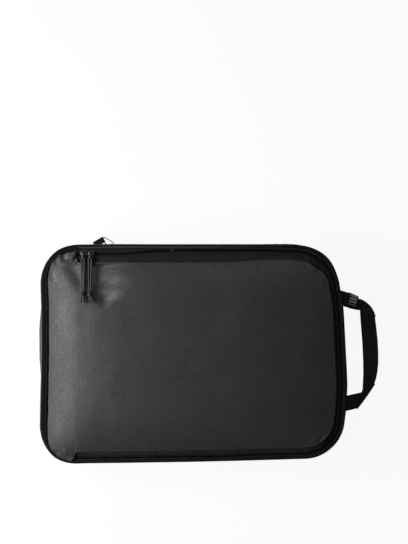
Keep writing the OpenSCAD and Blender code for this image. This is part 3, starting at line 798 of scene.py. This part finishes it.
def front_z(x, y):
    """Height of the front panel over a point of the even outline."""
    s, inset = where(x, y)
    past = inset - panel_edge(s)
    settled = smooth(past / 25)
    soft = 0.5 * noise.noise(Vector((x / 60, y / 52, 1.7)))
    soft += 0.16 * noise.noise(Vector((x / 21, y / 26, 5.2)))
    pucker = 0.22 * math.sin(2 * math.pi * s / 8.5 + 2.5 * ripple(s, 30, 2)) * math.exp(-past / 5)
    pucker *= 0.2 + 1.4 * abs(ripple(s, 45, 4))
    return PANEL_Z + crown(x, y) + soft * settled + pucker + folded(x, y) * smooth(past / 4 + 0.2)


SHEET_RIM = 40  # inset past which a sheet's points lie on an even grid
PANEL_STEP, FINE_STEP = 1.7, 0.7  # between the panel's points, and by the zip's ends
# The zip's ends on the top and bottom edges, from the middle of the corners at the spine
ZIP_ENDS = [STARTS[5] + ARC / 2 - ZIP_START, ZIP_END + ARC / 2]


def sheet(edge, height, step, fine=()):
    """A sheet of quads with its rim on an edge, on a grid that runs from corner to corner.

    height(x, y) gives its points' height, and the steps in fine replace the even ones where they lie.
    """
    across = np.linspace(0, RUN_X + ARC, round((RUN_X + ARC) / step) + 1).tolist()
    if fine:
        across = sorted([d for d in across if not fine[0] - 0.6 < d < fine[-1] + 0.6] + fine)
    up = np.linspace(0, RUN_Y + ARC, round((RUN_Y + ARC) / step) + 1).tolist()
    left, right = -ARC / 2, STARTS[1] + ARC / 2
    low = [Vector(place(left + d, 0)) for d in across]
    high = [Vector(place(STARTS[5] + ARC / 2 - d, 0)) for d in across]
    west = [Vector(place(left - d, 0)) for d in up]
    east = [Vector(place(right + d, 0)) for d in up]
    shape = Shape()
    rows = []
    for j, d in enumerate(up):
        v = d / up[-1]
        row = []
        for i, e in enumerate(across):
            u = e / across[-1]
            flat = low[i].lerp(high[i], v) + west[j].lerp(east[j], u)
            flat -= low[0].lerp(low[-1], u).lerp(high[0].lerp(high[-1], u), v)
            s, inset = where(*flat)
            if inset < SHEET_RIM:
                start = edge(s)
                flat = place(s, start + max(inset, 0.0) * (SHEET_RIM - start) / SHEET_RIM)
            x, y = flat
            row.append((*slump(x, y), height(x, y)))
        rows.append(row)
    shape.grid(rows, up, across)
    return shape


fine_steps = np.arange(min(ZIP_ENDS) - 6, max(ZIP_ENDS) + 6, FINE_STEP).tolist()
front = sheet(panel_edge, lambda x, y: front_z(x, y) - CLOTH_T / 2, PANEL_STEP, fine_steps)
make("front_panel_cloth", front, FRONT_CLOTH, blend=FLAP_BEND,
     replaces=["front_panel_spine", "front_panel_flap"], thick=CLOTH_T)


seam_line = [place(s, panel_in(s) + SEAM_ALLOWANCE) for s in stations(2.0, ZIP_END + 3, ZIP_START - 1)]
seams = Shape()
seams.stitches([(*slump(*point), front_z(*point)) for point in seam_line], (0, 0, 1), 3.4, 0.24)
make("front_panel_stitches", seams, SEAM_THREAD, blend=FLAP_BEND)


def piping_section(s):
    """The panel's edge, folded under and pressed, stands up a little from the tape."""
    inset = panel_in(s)
    z = front_z(*place(s, inset)) - 0.5
    return [(inset + 0.5 * math.cos(a) - 0.1, z + 0.42 * math.sin(a)) for a in
            (2 * math.pi * k / 8 for k in range(8))]


hem = sweep(Shape(), stations(3, ZIP_END, ZIP_START - 0.5), piping_section)
make("front_panel_hem", hem, FRONT_CLOTH, blend=FLAP_BEND)

# ---------------- walls


def front_wall_inset(s, z):
    """Inset of the front wall: gathered at the zip, swelling between, and drawn out to the front seam."""
    t = (z - GUSSET_LOW - 3) / (GUSSET_TOP - GUSSET_LOW - 3)
    base = WAIST_IN * (1 - smooth(1.7 * t))
    swell = (1.0 + 0.9 * ripple(s, 60, 1)) * math.sin(math.pi * smooth(t))
    pucker = 0.55 * math.sin(2 * math.pi * s / 11 + 3 * ripple(s, 40, 3)) * (1 - smooth(t * 1.3))
    gather = 0.3 * math.sin(2 * math.pi * s / 6.3 + 2 * ripple(s, 25, 6)) * smooth(t * 2 - 0.9)
    return base - swell + pucker * smooth(t * 6) + gather * (t < 0.97)


def rear_wall_inset(s, z):
    """Inset of the rear wall, which swells over the clothes and is drawn in at the compression zip."""
    t = z / (REAR_TOP - 3)
    base = 1.5 * (1 - smooth(2.5 * t)) + WAIST_IN * smooth(3.2 * t - 2.2)
    swell = (rear_bulge(s) + 1.1 * ripple(s, 55, 7)) * math.sin(math.pi * min(1, max(0, t))) ** 1.2
    pucker = 0.5 * math.sin(2 * math.pi * s / 12 + 3 * ripple(s, 45, 8))
    return base - swell + pucker * smooth(t * 2 - 0.8) * (1 - smooth(t * 4 - 3))


def wall(low, high, inset_at, count):
    """A band of cloth all round the body."""
    shape = Shape()
    places = stations(3.0)
    heights = np.linspace(low, high, count).tolist()
    rows = [[(*slump(*place(s, inset_at(s, z) + CLOTH_T / 2)), z) for z in heights] for s in places[:-1]]
    shape.grid(rows, places, heights, wrap=True)
    return shape


make("front_wall_cloth", wall(GUSSET_LOW, GUSSET_TOP - 0.4, front_wall_inset, 14), WALL_CLOTH_PAINTED_SHADE,
     "front_half", replaces=["front_gusset"], thick=CLOTH_T)
make("rear_wall_cloth", wall(CLOTH_T, REAR_TOP, rear_wall_inset, 16), WALL_CLOTH_PAINTED_SHADE, "rear_half",
     replaces=["rear_gusset"], thick=CLOTH_T)


def back_z(x, y):
    """Height of the back panel, slack past its seam."""
    slack = 0.12 * (1 + noise.noise(Vector((x / 35, y / 30, 9.0))))
    return CLOTH_T / 2 + slack * smooth((where(x, y)[1] - 2) / 12)


make("back_panel_cloth", sheet(lambda s: 1.6, back_z, 4.0), WALL_CLOTH_PAINTED_SHADE, "rear_half",
     replaces=["back_panel"], thick=CLOTH_T)


def bellows_section(s):
    """The expansion gusset, folded to and fro between the halves."""
    hem_in = WAIST_IN + 1.2
    low, high = BELLOWS_LOW + 1, BELLOWS_TOP - 1
    folds, depth, thick = 6, 5.3, 0.6
    first = hem_in + 1.2 + 0.4 * ripple(s, 30, 11)
    zigzag = [(first + (i % 2) * depth, low + (high - low) * i / folds) for i in range(folds + 1)]
    line = [(hem_in, BELLOWS_LOW)] + zigzag + [(hem_in, BELLOWS_TOP)]
    return line + [(inset + thick, z) for inset, z in reversed(line)]


make("expansion_cloth", sweep(Shape(), stations(4), bellows_section, closed=True), LINING,
     blend=("rear_half", "front_half", (0, 0, BELLOWS_LOW * MM), (0, 0, BELLOWS_TOP * MM)),
     replaces=["expansion_gusset"])

# ---------------- bindings


def binding_top(s):
    """Height of the front binding, which stands up by the spine."""
    return TAPE_TOP + 1.0 + 1.25 * leftness(s)


def front_binding_section(s):
    """Tape folded over the front seam: down the wall, round the edge and in over the front."""
    width = binding_w(s) + 0.35 * ripple(s, 22, 21) + 0.2 * ripple(s, 8, 22)
    low = TAPE_TOP - 4.8
    top = binding_top(s) + 0.25 * ripple(s, 35, 24)
    tuck = 0.25 * math.sin(2 * math.pi * s / 9 + 3 * ripple(s, 50, 23))
    out, thick, r = binding_out(s), 0.75, 1.3
    outer = [(out + 0.1, low + tuck), (out - 0.35, low + 1.5), (out - 0.45, (low + top) / 2)]
    outer += [(out + r * (1 - math.cos(a)) - 0.3, top - r + r * math.sin(a)) for a in (0, 0.5, 1.0)]
    outer += [(out + r + 0.3, top + 0.12), (width * 0.5, top + 0.18), (width - 0.8, top + 0.05)]
    inner = [(width - 0.1, top - thick), (width * 0.5, top - thick + 0.05),
             (out + r + 0.5, top - thick - 0.1), (out + thick + 0.15, top - r - 0.4), (out + thick, low + 1)]
    return outer + [(width, top - 0.12)] + inner


def rear_binding_section(s):
    """A flat tape with eased corners round the rear seam."""
    start, top, r = 0.25 + 0.2 * ripple(s, 20, 31), 3.6 + 0.25 * ripple(s, 18, 33), 0.35
    end = start + 1.0
    return [(start + r, 0), (end - r, 0), (end, r), (end, top - r), (end - r, top), (start + r, top),
            (start, top - r), (start, r)]


make("front_binding_tape", sweep(Shape(), stations(2.6), front_binding_section, closed=True), BINDING,
     "front_half", replaces=["front_binding"])
make("rear_binding_tape", sweep(Shape(), stations(3), rear_binding_section, closed=True), BINDING,
     "rear_half", replaces=["rear_binding"])

binding_seam = Shape()
line = [(*slump(*place(s, binding_w(s) - 1.3)), binding_top(s) + 0.05) for s in stations(2.6)]
binding_seam.stitches(line, (0, 0, 1), 3.2, 0.2)
make("front_binding_stitches", binding_seam, THREAD, "front_half")

# ---------------- zips

SHOULDER_START = STARTS[3] + ARC / 2
TAPE_T = 0.5
SLIT = 0.4  # half of the gap between two tapes
OUTER_POINTS = (0, 0.04, 0.1, 0.18, 0.28, 0.4, 0.55, 0.7, 0.85, 1)  # shares of the way from the chain
INNER_POINTS = (0, 0.03, 0.08, 0.15, 0.25, 0.4, 0.6, 0.8, 1)


def across_tape(s, far, shares, roll, power):
    """A main tape's profile, which turns down beside the chain and rolls up on its way to a far inset."""
    middle = chain_in(s)
    near = middle + math.copysign(0.35, far - middle)
    points = [near + (far - near) * share for share in shares]
    top = [(x, TAPE_TOP + roll * math.sin(math.pi * (x - far) / (middle - far)) ** power
            - 0.75 * math.exp(-abs(x - middle) / 0.9)) for x in points]
    return top + [(x, z - TAPE_T) for x, z in reversed(top)]


def outer_tape_section(s):
    return across_tape(s, binding_w(s) - 1.0, OUTER_POINTS, outer_roll(s) * (1 + 0.4 * ripple(s, 38, 43)), 2)


def inner_tape_section(s):
    return across_tape(s, panel_in(s) + 3, INNER_POINTS, 0.25 + 0.2 * ripple(s, 26, 44), 1)


def shoulder_section(s):
    """The front wall's cloth, rolled up beside the binding."""
    start = binding_w(s) - 0.5
    size = smooth((ZIP_START + 4 - s) / 22) * smooth((s - SHOULDER_START) / 220)
    size *= 1 + 0.5 * ripple(s, 34, 61)
    width, rise = 2.1, 0.95 * size
    low = TAPE_TOP + 0.1 - 0.9 * (1 - smooth((s - SHOULDER_START) / 40))
    arch = [(start + width * (1 - math.cos(a)) / 2, low + rise * math.sin(a) + 0.15 * size) for a in
            (math.pi * k / 6 for k in range(7))]
    return arch + [(start + width, low - 0.3), (start, low - 0.3)]


shoulder_places = stations(2.6, SHOULDER_START, ZIP_START + 4)
make("front_wall_shoulder", sweep(Shape(), shoulder_places, shoulder_section), FRONT_CLOTH, "front_half")
zip_places = stations(3, ZIP_END + 0.4, ZIP_START - 0.4)
make("main_tape_fixed", sweep(Shape(), zip_places, outer_tape_section), ZIP_TAPE, "front_half",
     replaces=["main_tape_outer"])
make("main_tape_moving", sweep(Shape(), zip_places, inner_tape_section), ZIP_TAPE, blend=FLAP_BEND,
     replaces=["main_tape_start", "main_tape_flap"])

COIL_PITCH = 1.3


def coil_rows(start, end, centre, middle_z, half_in, half_z, gap=None):
    """A row of coil: a round bar whose size swells at each turn, and which stops for a gap."""
    shape = Shape()
    places = stations(COIL_PITCH / 2, start, end)
    if gap:
        places = [s for s in places if not gap[0] < s < gap[1]]

    def section(s):
        swell = 1.0 if round(2 * (s - start) / COIL_PITCH) % 2 else 0.72
        return [(centre(s) + half_in * swell * math.cos(a), middle_z + half_z * swell * math.sin(a))
                for a in (2 * math.pi * k / 6 for k in range(6))]

    runs, run = [], [places[0]]
    for a, b in zip(places, places[1:]):
        if b - a > COIL_PITCH:
            runs.append(run)
            run = []
        run.append(b)
    runs.append(run)
    for run in runs:
        sweep(shape, run, section)
    return shape


def main_coil(offset):
    """A row of the main zip's coil, behind the tape at an offset from the chain's centre line."""
    return coil_rows(ZIP_END + 1, ZIP_START - 1, lambda s: chain_in(s) + offset, TAPE_LOW - 0.85, 0.95, 0.6)


make("main_coil_fixed", main_coil(-1.3), COIL, "front_half", replaces=["main_coil_outer"])
make("main_coil_moving", main_coil(1.3), COIL, blend=FLAP_BEND,
     replaces=["main_coil_start", "main_coil_flap"])

stops = node_box("compression_stops_rear")
WAIST_GAP = [STARTS[TOP_LEG] + HALF_W - CORNER_R - corner.x for corner in reversed(stops)]
WAIST_HALVES = [("lower", "rear", -1), ("upper", "front", 1)]


def waist_tape(side):
    """The compression zip's tape on one half. side is -1 below the slit and 1 above it."""
    slit = WAIST_Z + side * SLIT
    heights = np.linspace(*sorted((slit, slit + side * WAIST_TAPE_W)), 8).tolist()

    def section(s):
        face = WAIST_IN - 0.85 + 0.12 * ripple(s, 30, 51)
        ridged = [(face - 0.3 * math.exp(-((z - slit) / 1.1 - 1.6 * side) ** 2), z) for z in heights]
        return ridged + [(WAIST_IN - 0.15, z) for z in reversed(heights)]

    return sweep(Shape(), stations(4), section, closed=True)


def waist_seam(side):
    """The stitches that hold that tape to its wall."""
    slit = WAIST_Z + side * SLIT
    line, ups = [], []
    for s in stations(4):
        on, off = (Vector(slump(*place(s, WAIST_IN - out))) for out in (0.95, 1.95))
        line.append((*on, slit + side * (WAIST_TAPE_W - 1)))
        ups.append((off - on).normalized().to_3d())
    seam = Shape()
    seam.stitches(line, ups, 3.2, 0.2)
    return seam


for level, half, side in WAIST_HALVES:
    make("compression_tape_" + level, waist_tape(side), WAIST_TAPE, half + "_half",
         replaces=["compression_tape_" + half])
for level, half, side in WAIST_HALVES:
    coils = coil_rows(0, LOOP - 0.1, lambda s: WAIST_IN + 0.55, WAIST_Z + side * 1.35, 0.6, 0.95, WAIST_GAP)
    make("compression_coil_" + level, coils, COIL, half + "_half", replaces=["compression_coil_" + half])
for _, half, side in WAIST_HALVES:
    make(f"compression_stitches_{half}_half", waist_seam(side), THREAD, half + "_half")


def end_tab(x, sign, outer, inner, lean):
    """A folded cloth tab sewn across one end of the main zip, between two insets."""
    shape = Shape()
    section = [(-1.3, -0.3), (-1.15, 0.35), (-0.5, 0.75), (0.5, 0.7), (1.15, 0.35), (1.3, -0.3)]
    rows = []
    for k in range(11):
        share = k / 10
        y = sign * (HALF_H - (outer + (inner - outer) * share))
        z = TAPE_TOP + 0.9 * math.sin(math.pi * share) ** 0.5
        rows.append([(*slump(x + dx + lean * (0.5 - share), y), z + dz) for dx, dz in section])
    shape.grid(rows, [1.3 * k for k in range(11)], [0.6 * k for k in range(7)], around=True, caps=True)
    return shape


make("zip_end_tab_top", end_tab(ZIP_START_X - 1.2, 1, 3, 19.5, 5.0), BINDING, "front_half",
     replaces=["main_zip_end_tabs"])
make("zip_end_tab_bottom", end_tab(ZIP_END_X - 4.2, -1, 3.2, 12.4, -1.5), BINDING, "front_half")

tack = Shape()
tack_low, tack_high = node_box("tape_bartack")
for k in range(9):
    x = tack_low.x + (tack_high.x - tack_low.x) * k / 8
    tack.tube([(x, tack_low.y, TAPE_TOP + 0.15), (x + 0.1, (tack_low.y + tack_high.y) / 2, TAPE_TOP + 0.75),
               (x + 0.2, tack_high.y, TAPE_TOP + 0.15)], 0.3, 6)
make("band_bartack", tack, THREAD, "front_half", replaces=["tape_bartack"])

# ---------------- sliders

SLIDER_L, SLIDER_W = 8.4, 8.0
PLATE_LOW, PLATE_T, BASE_T = 0.8, 1.1, 0.7
BASE_HIGH = -1.4


def rectangle(x0, x1, y0, y1):
    return [(x0, y0), (x1, y0), (x1, y1), (x0, y1)]


def slider_outline(length, width):
    """A slider's plate: broad shoulders where the tapes part, narrow where they leave together."""
    steps = 9
    half = []
    for k in range(steps + 1):
        t = k / steps
        rounding = math.sqrt(max(0.0, 1 - abs(2 * t - 1) ** 5)) ** 0.9
        y = width / 2 * (0.62 + 0.38 * smooth(1.6 * t)) * rounding
        half.append((length * (t - 0.5), max(y, 0.9)))
    return half + [(x, -y) for x, y in reversed(half)]


def slider_shape(bar_h, bar_l, along, bar_x, sides):
    """A slider in its own frame: X along the zip, Z out of the tape. sides are those with a flange."""
    shape = Shape()
    outline = slider_outline(SLIDER_L, SLIDER_W)
    shape.prism(outline, PLATE_LOW, PLATE_LOW + PLATE_T, 0.12)
    shape.prism(outline, BASE_HIGH - BASE_T, BASE_HIGH, 0.08)
    shape.prism(rectangle(-3.1, 0.9, -0.2, 0.2), BASE_HIGH - 0.2, PLATE_LOW + 0.2)
    for side in sides:
        y = side * (SLIDER_W / 2 - 1.05)
        shape.prism(rectangle(-2.3, 2.3, y - 0.3, y + 0.3), BASE_HIGH - 0.3, -0.35)
    reach = bar_l / 2
    foot = PLATE_LOW + PLATE_T - 0.3
    leg = [(reach - 1.2, bar_h), (reach - 0.45, bar_h - 0.35), (reach - 0.05, foot + 0.9),
           (reach + 0.1, foot)]
    arch = [(-d, z) for d, z in reversed(leg)] + [(0, bar_h)] + leg
    path = [(bar_x + d, 0, z) if along else (bar_x, d, z) for d, z in arch]
    shape.tube(finer([Vector(p) for p in path], 3), 0.66, 12)
    return shape


for side in ("left", "right"):
    low, high = node_box("main_slider_" + side)
    bar = joint_place(side + "_pull_lift")
    shape = slider_shape(bar.z - TAPE_LOW, SLIDER_L - 1.4, True, 0, (-1, 1))
    shape.moved(Matrix.Translation(((low.x + high.x) / 2, bar.y, TAPE_LOW)))
    make("slider_" + side, shape, SLIDER, side + "_slider", bevel=0.16, replaces=["main_slider_" + side])

waist_bar = joint_place("compression_pull_swing")
waist_x, waist_y = waist_bar.x + SLIDER_L / 2 - 0.9, HALF_H - WAIST_IN + 0.1
shape = slider_shape(waist_bar.y - waist_y, 5.6, False, waist_bar.x - waist_x, (1,))
shape.moved(Matrix.Translation((waist_x, waist_y, WAIST_Z)) @ Matrix.Rotation(-math.pi / 2, 4, "X"))
make("slider_compression", shape, SLIDER, "waist_slider", bevel=0.16, replaces=["compression_slider"])

# ---------------- compression tab

TAB_L, TAB_W = 12.4, 7.0
LINK_SLOPE, TAB_SLOPE = math.radians(30), math.radians(30)
LINK_REACH = 10.4  # from the bar to where the tab wraps the link
tab_at = Vector((waist_bar.x, waist_bar.y, WAIST_Z))
tab_at += LINK_REACH * Vector((-math.cos(LINK_SLOPE), math.sin(LINK_SLOPE), 0))
tab_turn = Matrix.Translation(tab_at) @ Matrix.Rotation(TAB_SLOPE, 4, "Z")


def tab_path():
    """Side view of the folded webbing, from one end round the link and back, as (out, up)."""
    layer = 0.68
    leaf = [(-2.2, layer + 0.05), (-TAB_L * 0.45, layer), (-TAB_L * 0.75, layer + 0.04), (-TAB_L, layer)]
    nose = [(0.95 * math.sin(a) - 0.6, -0.85 * math.cos(a)) for a in np.linspace(0.25, math.pi - 0.25, 7)]
    return [(out, -up) for out, up in reversed(leaf)] + nose + leaf


tab = Shape()
tab.ribbon([((out, -TAB_W / 2, up), (out, TAB_W / 2, up)) for out, up in tab_path()])
tab.moved(tab_turn)
make("compression_tab", tab, TAB_WEBBING, "waist_pull", replaces=["compression_pull_tab"], thick=1.0,
     bevel=0.25)
tab_seam = Shape()
box_line = [(-2.6, -2.6), (-2.6, 2.6), (-9.8, 2.6), (-9.8, -2.6)]
for a, b in zip(box_line, box_line[1:] + box_line[:1]):
    tab_seam.stitches([(*a, 1.22), (*b, 1.22)], (0, 0, 1), 1.8, 0.2)
tab_seam.moved(tab_turn)
make("compression_tab_stitches", tab_seam, THREAD, "waist_pull")

# ---------------- handle

WEBBING_T = 1.25
LAYER = 0.75  # half the distance between the two layers at a fold
UPPER_BULGE, LOWER_BULGE = 3.2, 0.6  # how far the mitred folds bow out in their middle
# The loop's edges, each row [one edge, other edge] as [x past the fold line, y]
UPPER_LIMB = [([-13, 74.6], [-13, 56.4]), ([-5, 72.3], [-5, 54.6]), ([0, 70.8], [0, 53.2]),
              ([6, 68.5], [6, 52.0]), ([12, 65.8], [12.5, 50.6])]
UPPER_FOLD = ([14.6, 62.3], [32, 42])
SIDE_LIMB = [([14.6, 47], [32.8, 36]), ([15.6, 33], [33.8, 28]), ([16.9, 17], [35.1, 16]),
             ([17.8, 2], [35.9, 1]), ([18.2, -10], [35.9, -12]), ([18.4, -24], [34.8, -22.5]),
             ([17.6, -42], [33.2, -30])]
LOWER_FOLD = ([10.6, -64.6], [31.3, -35.5])
LOWER_LIMB = [([6, -65.9], [18, -45.4]), ([3, -66.6], [10, -47.3]), ([0, -67.2], [0, -49.5]),
              ([-5, -68], [-5, -50.6]), ([-13, -69], [-13, -51.8])]


def handle_rows():
    """Rows of points across the webbing, from its upper to its lower end."""
    rows = []
    shares = np.linspace(0, 1, 8)

    def level(pair, z, bow=(0, 0)):
        (ax, ay), (bx, by) = pair
        rows.append([Vector((HANDLE_X + ax + (bx - ax) * t + bow[0] * 4 * t * (1 - t),
                             ay + (by - ay) * t + bow[1] * 4 * t * (1 - t), HANDLE_Z + z)) for t in shares])

    def fold(pair, before, after, bulge):
        """Turns the ribbon over a mitred edge."""
        (ax, ay), (bx, by) = pair
        out = Vector((ay - by, bx - ax)).normalized()
        out *= math.copysign(1, out.x)
        for share in (0.0, 0.25, 0.5, 0.75, 1.0):
            push = 0.7 * math.sin(math.pi * share)
            level([(ax + out.x * push, ay + out.y * push), (bx + out.x * push, by + out.y * push)],
                  before + (after - before) * share, out * bulge)

    for i, pair in enumerate(UPPER_LIMB):
        level(pair, -LAYER * smooth((i - 1) / 2))
    fold(UPPER_FOLD, -LAYER, LAYER, UPPER_BULGE)
    for i, pair in enumerate(SIDE_LIMB):
        level(pair, LAYER, (1.4 * math.exp(-i), 1.4 * math.exp(-i)))
    fold(LOWER_FOLD, LAYER, -LAYER, LOWER_BULGE)
    for i, pair in enumerate(LOWER_LIMB):
        level(pair, -LAYER * (1 - smooth((i - 1) / 2)))
    return rows


HANDLE_BEND = ("rear_half", "handle", ((HANDLE_X - 3) * MM, 0, 0), ((HANDLE_X + 1) * MM, 0, 0))
strap = Shape()
strap_rows = handle_rows()
strap_run = np.cumsum([0.0] + [max((b - a).length for a, b in zip(one, other))
                               for one, other in zip(strap_rows, strap_rows[1:])]).tolist()
strap.grid(strap_rows, strap_run, np.linspace(0, 18, len(strap_rows[0])).tolist())
make("handle_loop", strap, WEBBING, blend=HANDLE_BEND, replaces=["handle_webbing", "handle_anchors"],
     thick=WEBBING_T, bevel=0.3)

strap_seams = Shape()
for middle in (62, -58.4):
    for k in range(12):
        y = middle + (k - 5.5) * 1.15
        strap_seams.tube([(HANDLE_X - 5.6, y, HANDLE_Z + 0.5), (HANDLE_X - 4.9, y + 0.3, HANDLE_Z + 0.95),
                          (HANDLE_X - 4.1, y + 0.6, HANDLE_Z + 0.5)], 0.28, 5)
make("handle_bartack_threads", strap_seams, THREAD, "rear_half", replaces=["handle_bartacks"])


def limb_edge(x, which):
    """Outer or inner edge of the upper limb at a distance past the fold line."""
    xs = [pair[which][0] for pair in UPPER_LIMB]
    return float(np.interp(x, xs, [pair[which][1] for pair in UPPER_LIMB]))


TAG_FROM, TAG_TO, TAG_T, TAG_GROW = 1.2, 12.9, 0.45, 0.5


def tag_shape(grow, start, end):
    """A band round the upper limb, a little larger than it."""
    shape = Shape()
    rows, u = [], []
    for x in np.linspace(start, end, 7):
        y0, y1 = limb_edge(x, 0) + grow, limb_edge(x, 1) - grow
        low = -LAYER * smooth(x / 6 + 0.5) - WEBBING_T / 2 - grow
        high = low + WEBBING_T + 2 * grow
        r = min(0.6, (high - low) / 2)
        middle = (y0 + y1) / 2
        around = [(y0, low + r), (y0, high - r), (y0 - r, high), (middle, high + 0.12), (y1 + r, high),
                  (y1, high - r), (y1, low + r), (y1 + r, low), (middle, low - 0.05), (y0 - r, low)]
        rows.append([(HANDLE_X + x, y, HANDLE_Z + z) for y, z in around])
        u.append(x)
    v = [0.0]
    for k in range(10):
        v.append(v[-1] + (2 if k % 5 else 8))
    shape.grid(rows, u, v, around=True)
    return shape


make("size_tag_band", tag_shape(TAG_GROW, TAG_FROM, TAG_TO), TAG, "handle", replaces=["handle_size_tag"],
     thick=TAG_T)
marks = Shape()
mark_at, mark_turn = Vector((7.0, 62.6)), math.radians(-16)
mark_low = HANDLE_Z - LAYER * smooth(mark_at.x / 6 + 0.5) + WEBBING_T / 2 + TAG_GROW + TAG_T / 2 + 0.05
for rise, length, width in ((3.6, 8.4, 2.0), (0.3, 8.4, 2.0), (-3.0, 8.4, 2.0), (-6.2, 9.4, 0.6)):
    marks.prism(rectangle(-length / 2, length / 2, rise - width / 2, rise + width / 2), 0, 0.25, 0.06)
mark_place = Matrix.Translation((HANDLE_X + mark_at.x, mark_at.y, mark_low))
marks.moved(mark_place @ Matrix.Rotation(mark_turn, 4, "Z"))
make("size_tag_mark", marks, TAG_MARK, "handle")

# ---------------- care label

label_low, label_high = node_box("care_label")
label = Shape()
rows = []
for k in range(13):
    t = k / 12
    x = label_low.x + (label_high.x - label_low.x) * t
    z = label_low.z + 0.35 + 1.6 * smooth(t * 1.2 - 0.2) * (1 - 0.4 * t)
    rows.append([(x, y, z + 0.15 * math.sin(j * 1.1 + 3 * t))
                 for j, y in enumerate(np.linspace(label_low.y, label_high.y, 7).tolist())])
label.grid(rows, [2.5 * k for k in range(13)], [3 * k for k in range(7)])
make("care_label_satin", label, LABEL, "rear_half", replaces=["care_label"], thick=0.3)

# ---------------- carried-over nodes

CARRIED = {"pull_link_left": LINK, "pull_link_right": LINK, "compression_pull_link": LINK,
           "main_zip_stops": STOP, "compression_stops_rear": STOP, "compression_stops_front": STOP}
for node, material in CARRIED.items():
    mesh = frame["nodes"][node].data
    mesh.materials.clear()
    mesh.materials.append(material)

# ---------------- floor and light

HALF_FLOOR, FLOOR_Z = 3.0, -0.0002  # in metres
GLOW = 0.92  # how far the floor shows the camera plain white


def show_camera(tree, seen, lit, output, share=1.0):
    """Gives the camera one shader, or a share of it, and lights everything else with another."""
    rays = tree.nodes.new("ShaderNodeLightPath")
    part = tree.nodes.new("ShaderNodeMath")
    part.operation = "MULTIPLY"
    part.inputs[1].default_value = share
    mixed = tree.nodes.new("ShaderNodeMixShader")
    for a, b in ((rays.outputs["Is Camera Ray"], part.inputs[0]), (part.outputs[0], mixed.inputs[0]),
                 (lit, mixed.inputs[1]), (seen, mixed.inputs[2]), (mixed.outputs[0], output)):
        tree.links.new(a, b)


paper = bpy.data.materials.new("paper")
paper.use_nodes = True
tree = paper.node_tree
diffuse = tree.nodes["Principled BSDF"]
diffuse.inputs["Base Color"].default_value = (0.86, 0.86, 0.86, 1)
diffuse.inputs["Roughness"].default_value = 0.9
diffuse.inputs["Specular IOR Level"].default_value = 0.1
glow = tree.nodes.new("ShaderNodeEmission")
show_camera(tree, glow.outputs[0], diffuse.outputs[0], tree.nodes["Material Output"].inputs["Surface"], GLOW)

floor_mesh = bpy.data.meshes.new("floor")
floor_corners = [(x, y, FLOOR_Z) for x, y in rectangle(-HALF_FLOOR, HALF_FLOOR, -HALF_FLOOR, HALF_FLOOR)]
floor_mesh.from_pydata(floor_corners, [], [(0, 1, 2, 3)])
floor_mesh.materials.append(paper)
floor = bpy.data.objects.new("floor", floor_mesh)
bpy.context.scene.collection.objects.link(floor)

world = bpy.data.worlds.new("studio")
bpy.context.scene.world = world
world.use_nodes = True
tree = world.node_tree
room = tree.nodes["Background"]
room.inputs["Color"].default_value = (1, 1, 1, 1)
room.inputs["Strength"].default_value = 0.10
white = tree.nodes.new("ShaderNodeBackground")
show_camera(tree, white.outputs[0], room.outputs[0], tree.nodes["World Output"].inputs["Surface"])

LAMPS_FACE = Vector((0, 0, 0.03))


def softbox(name, at, size, power):
    """A rectangular lamp, in metres and watts, that faces the middle of the front."""
    lamp = bpy.data.lights.new(name, "AREA")
    lamp.shape = "RECTANGLE"
    lamp.size, lamp.size_y = size
    lamp.energy = power
    obj = bpy.data.objects.new(name, lamp)
    bpy.context.scene.collection.objects.link(obj)
    obj.location = at
    obj.rotation_euler = (LAMPS_FACE - Vector(at)).to_track_quat("-Z", "Y").to_euler()
    obj.visible_camera = False


softbox("key", (-0.60, 0.03, 0.42), (0.6, 0.25), 8.3)
softbox("top", (0.15, 0.80, 0.95), (0.9, 0.3), 0.9)

bpy.context.scene.view_settings.view_transform = "Standard"
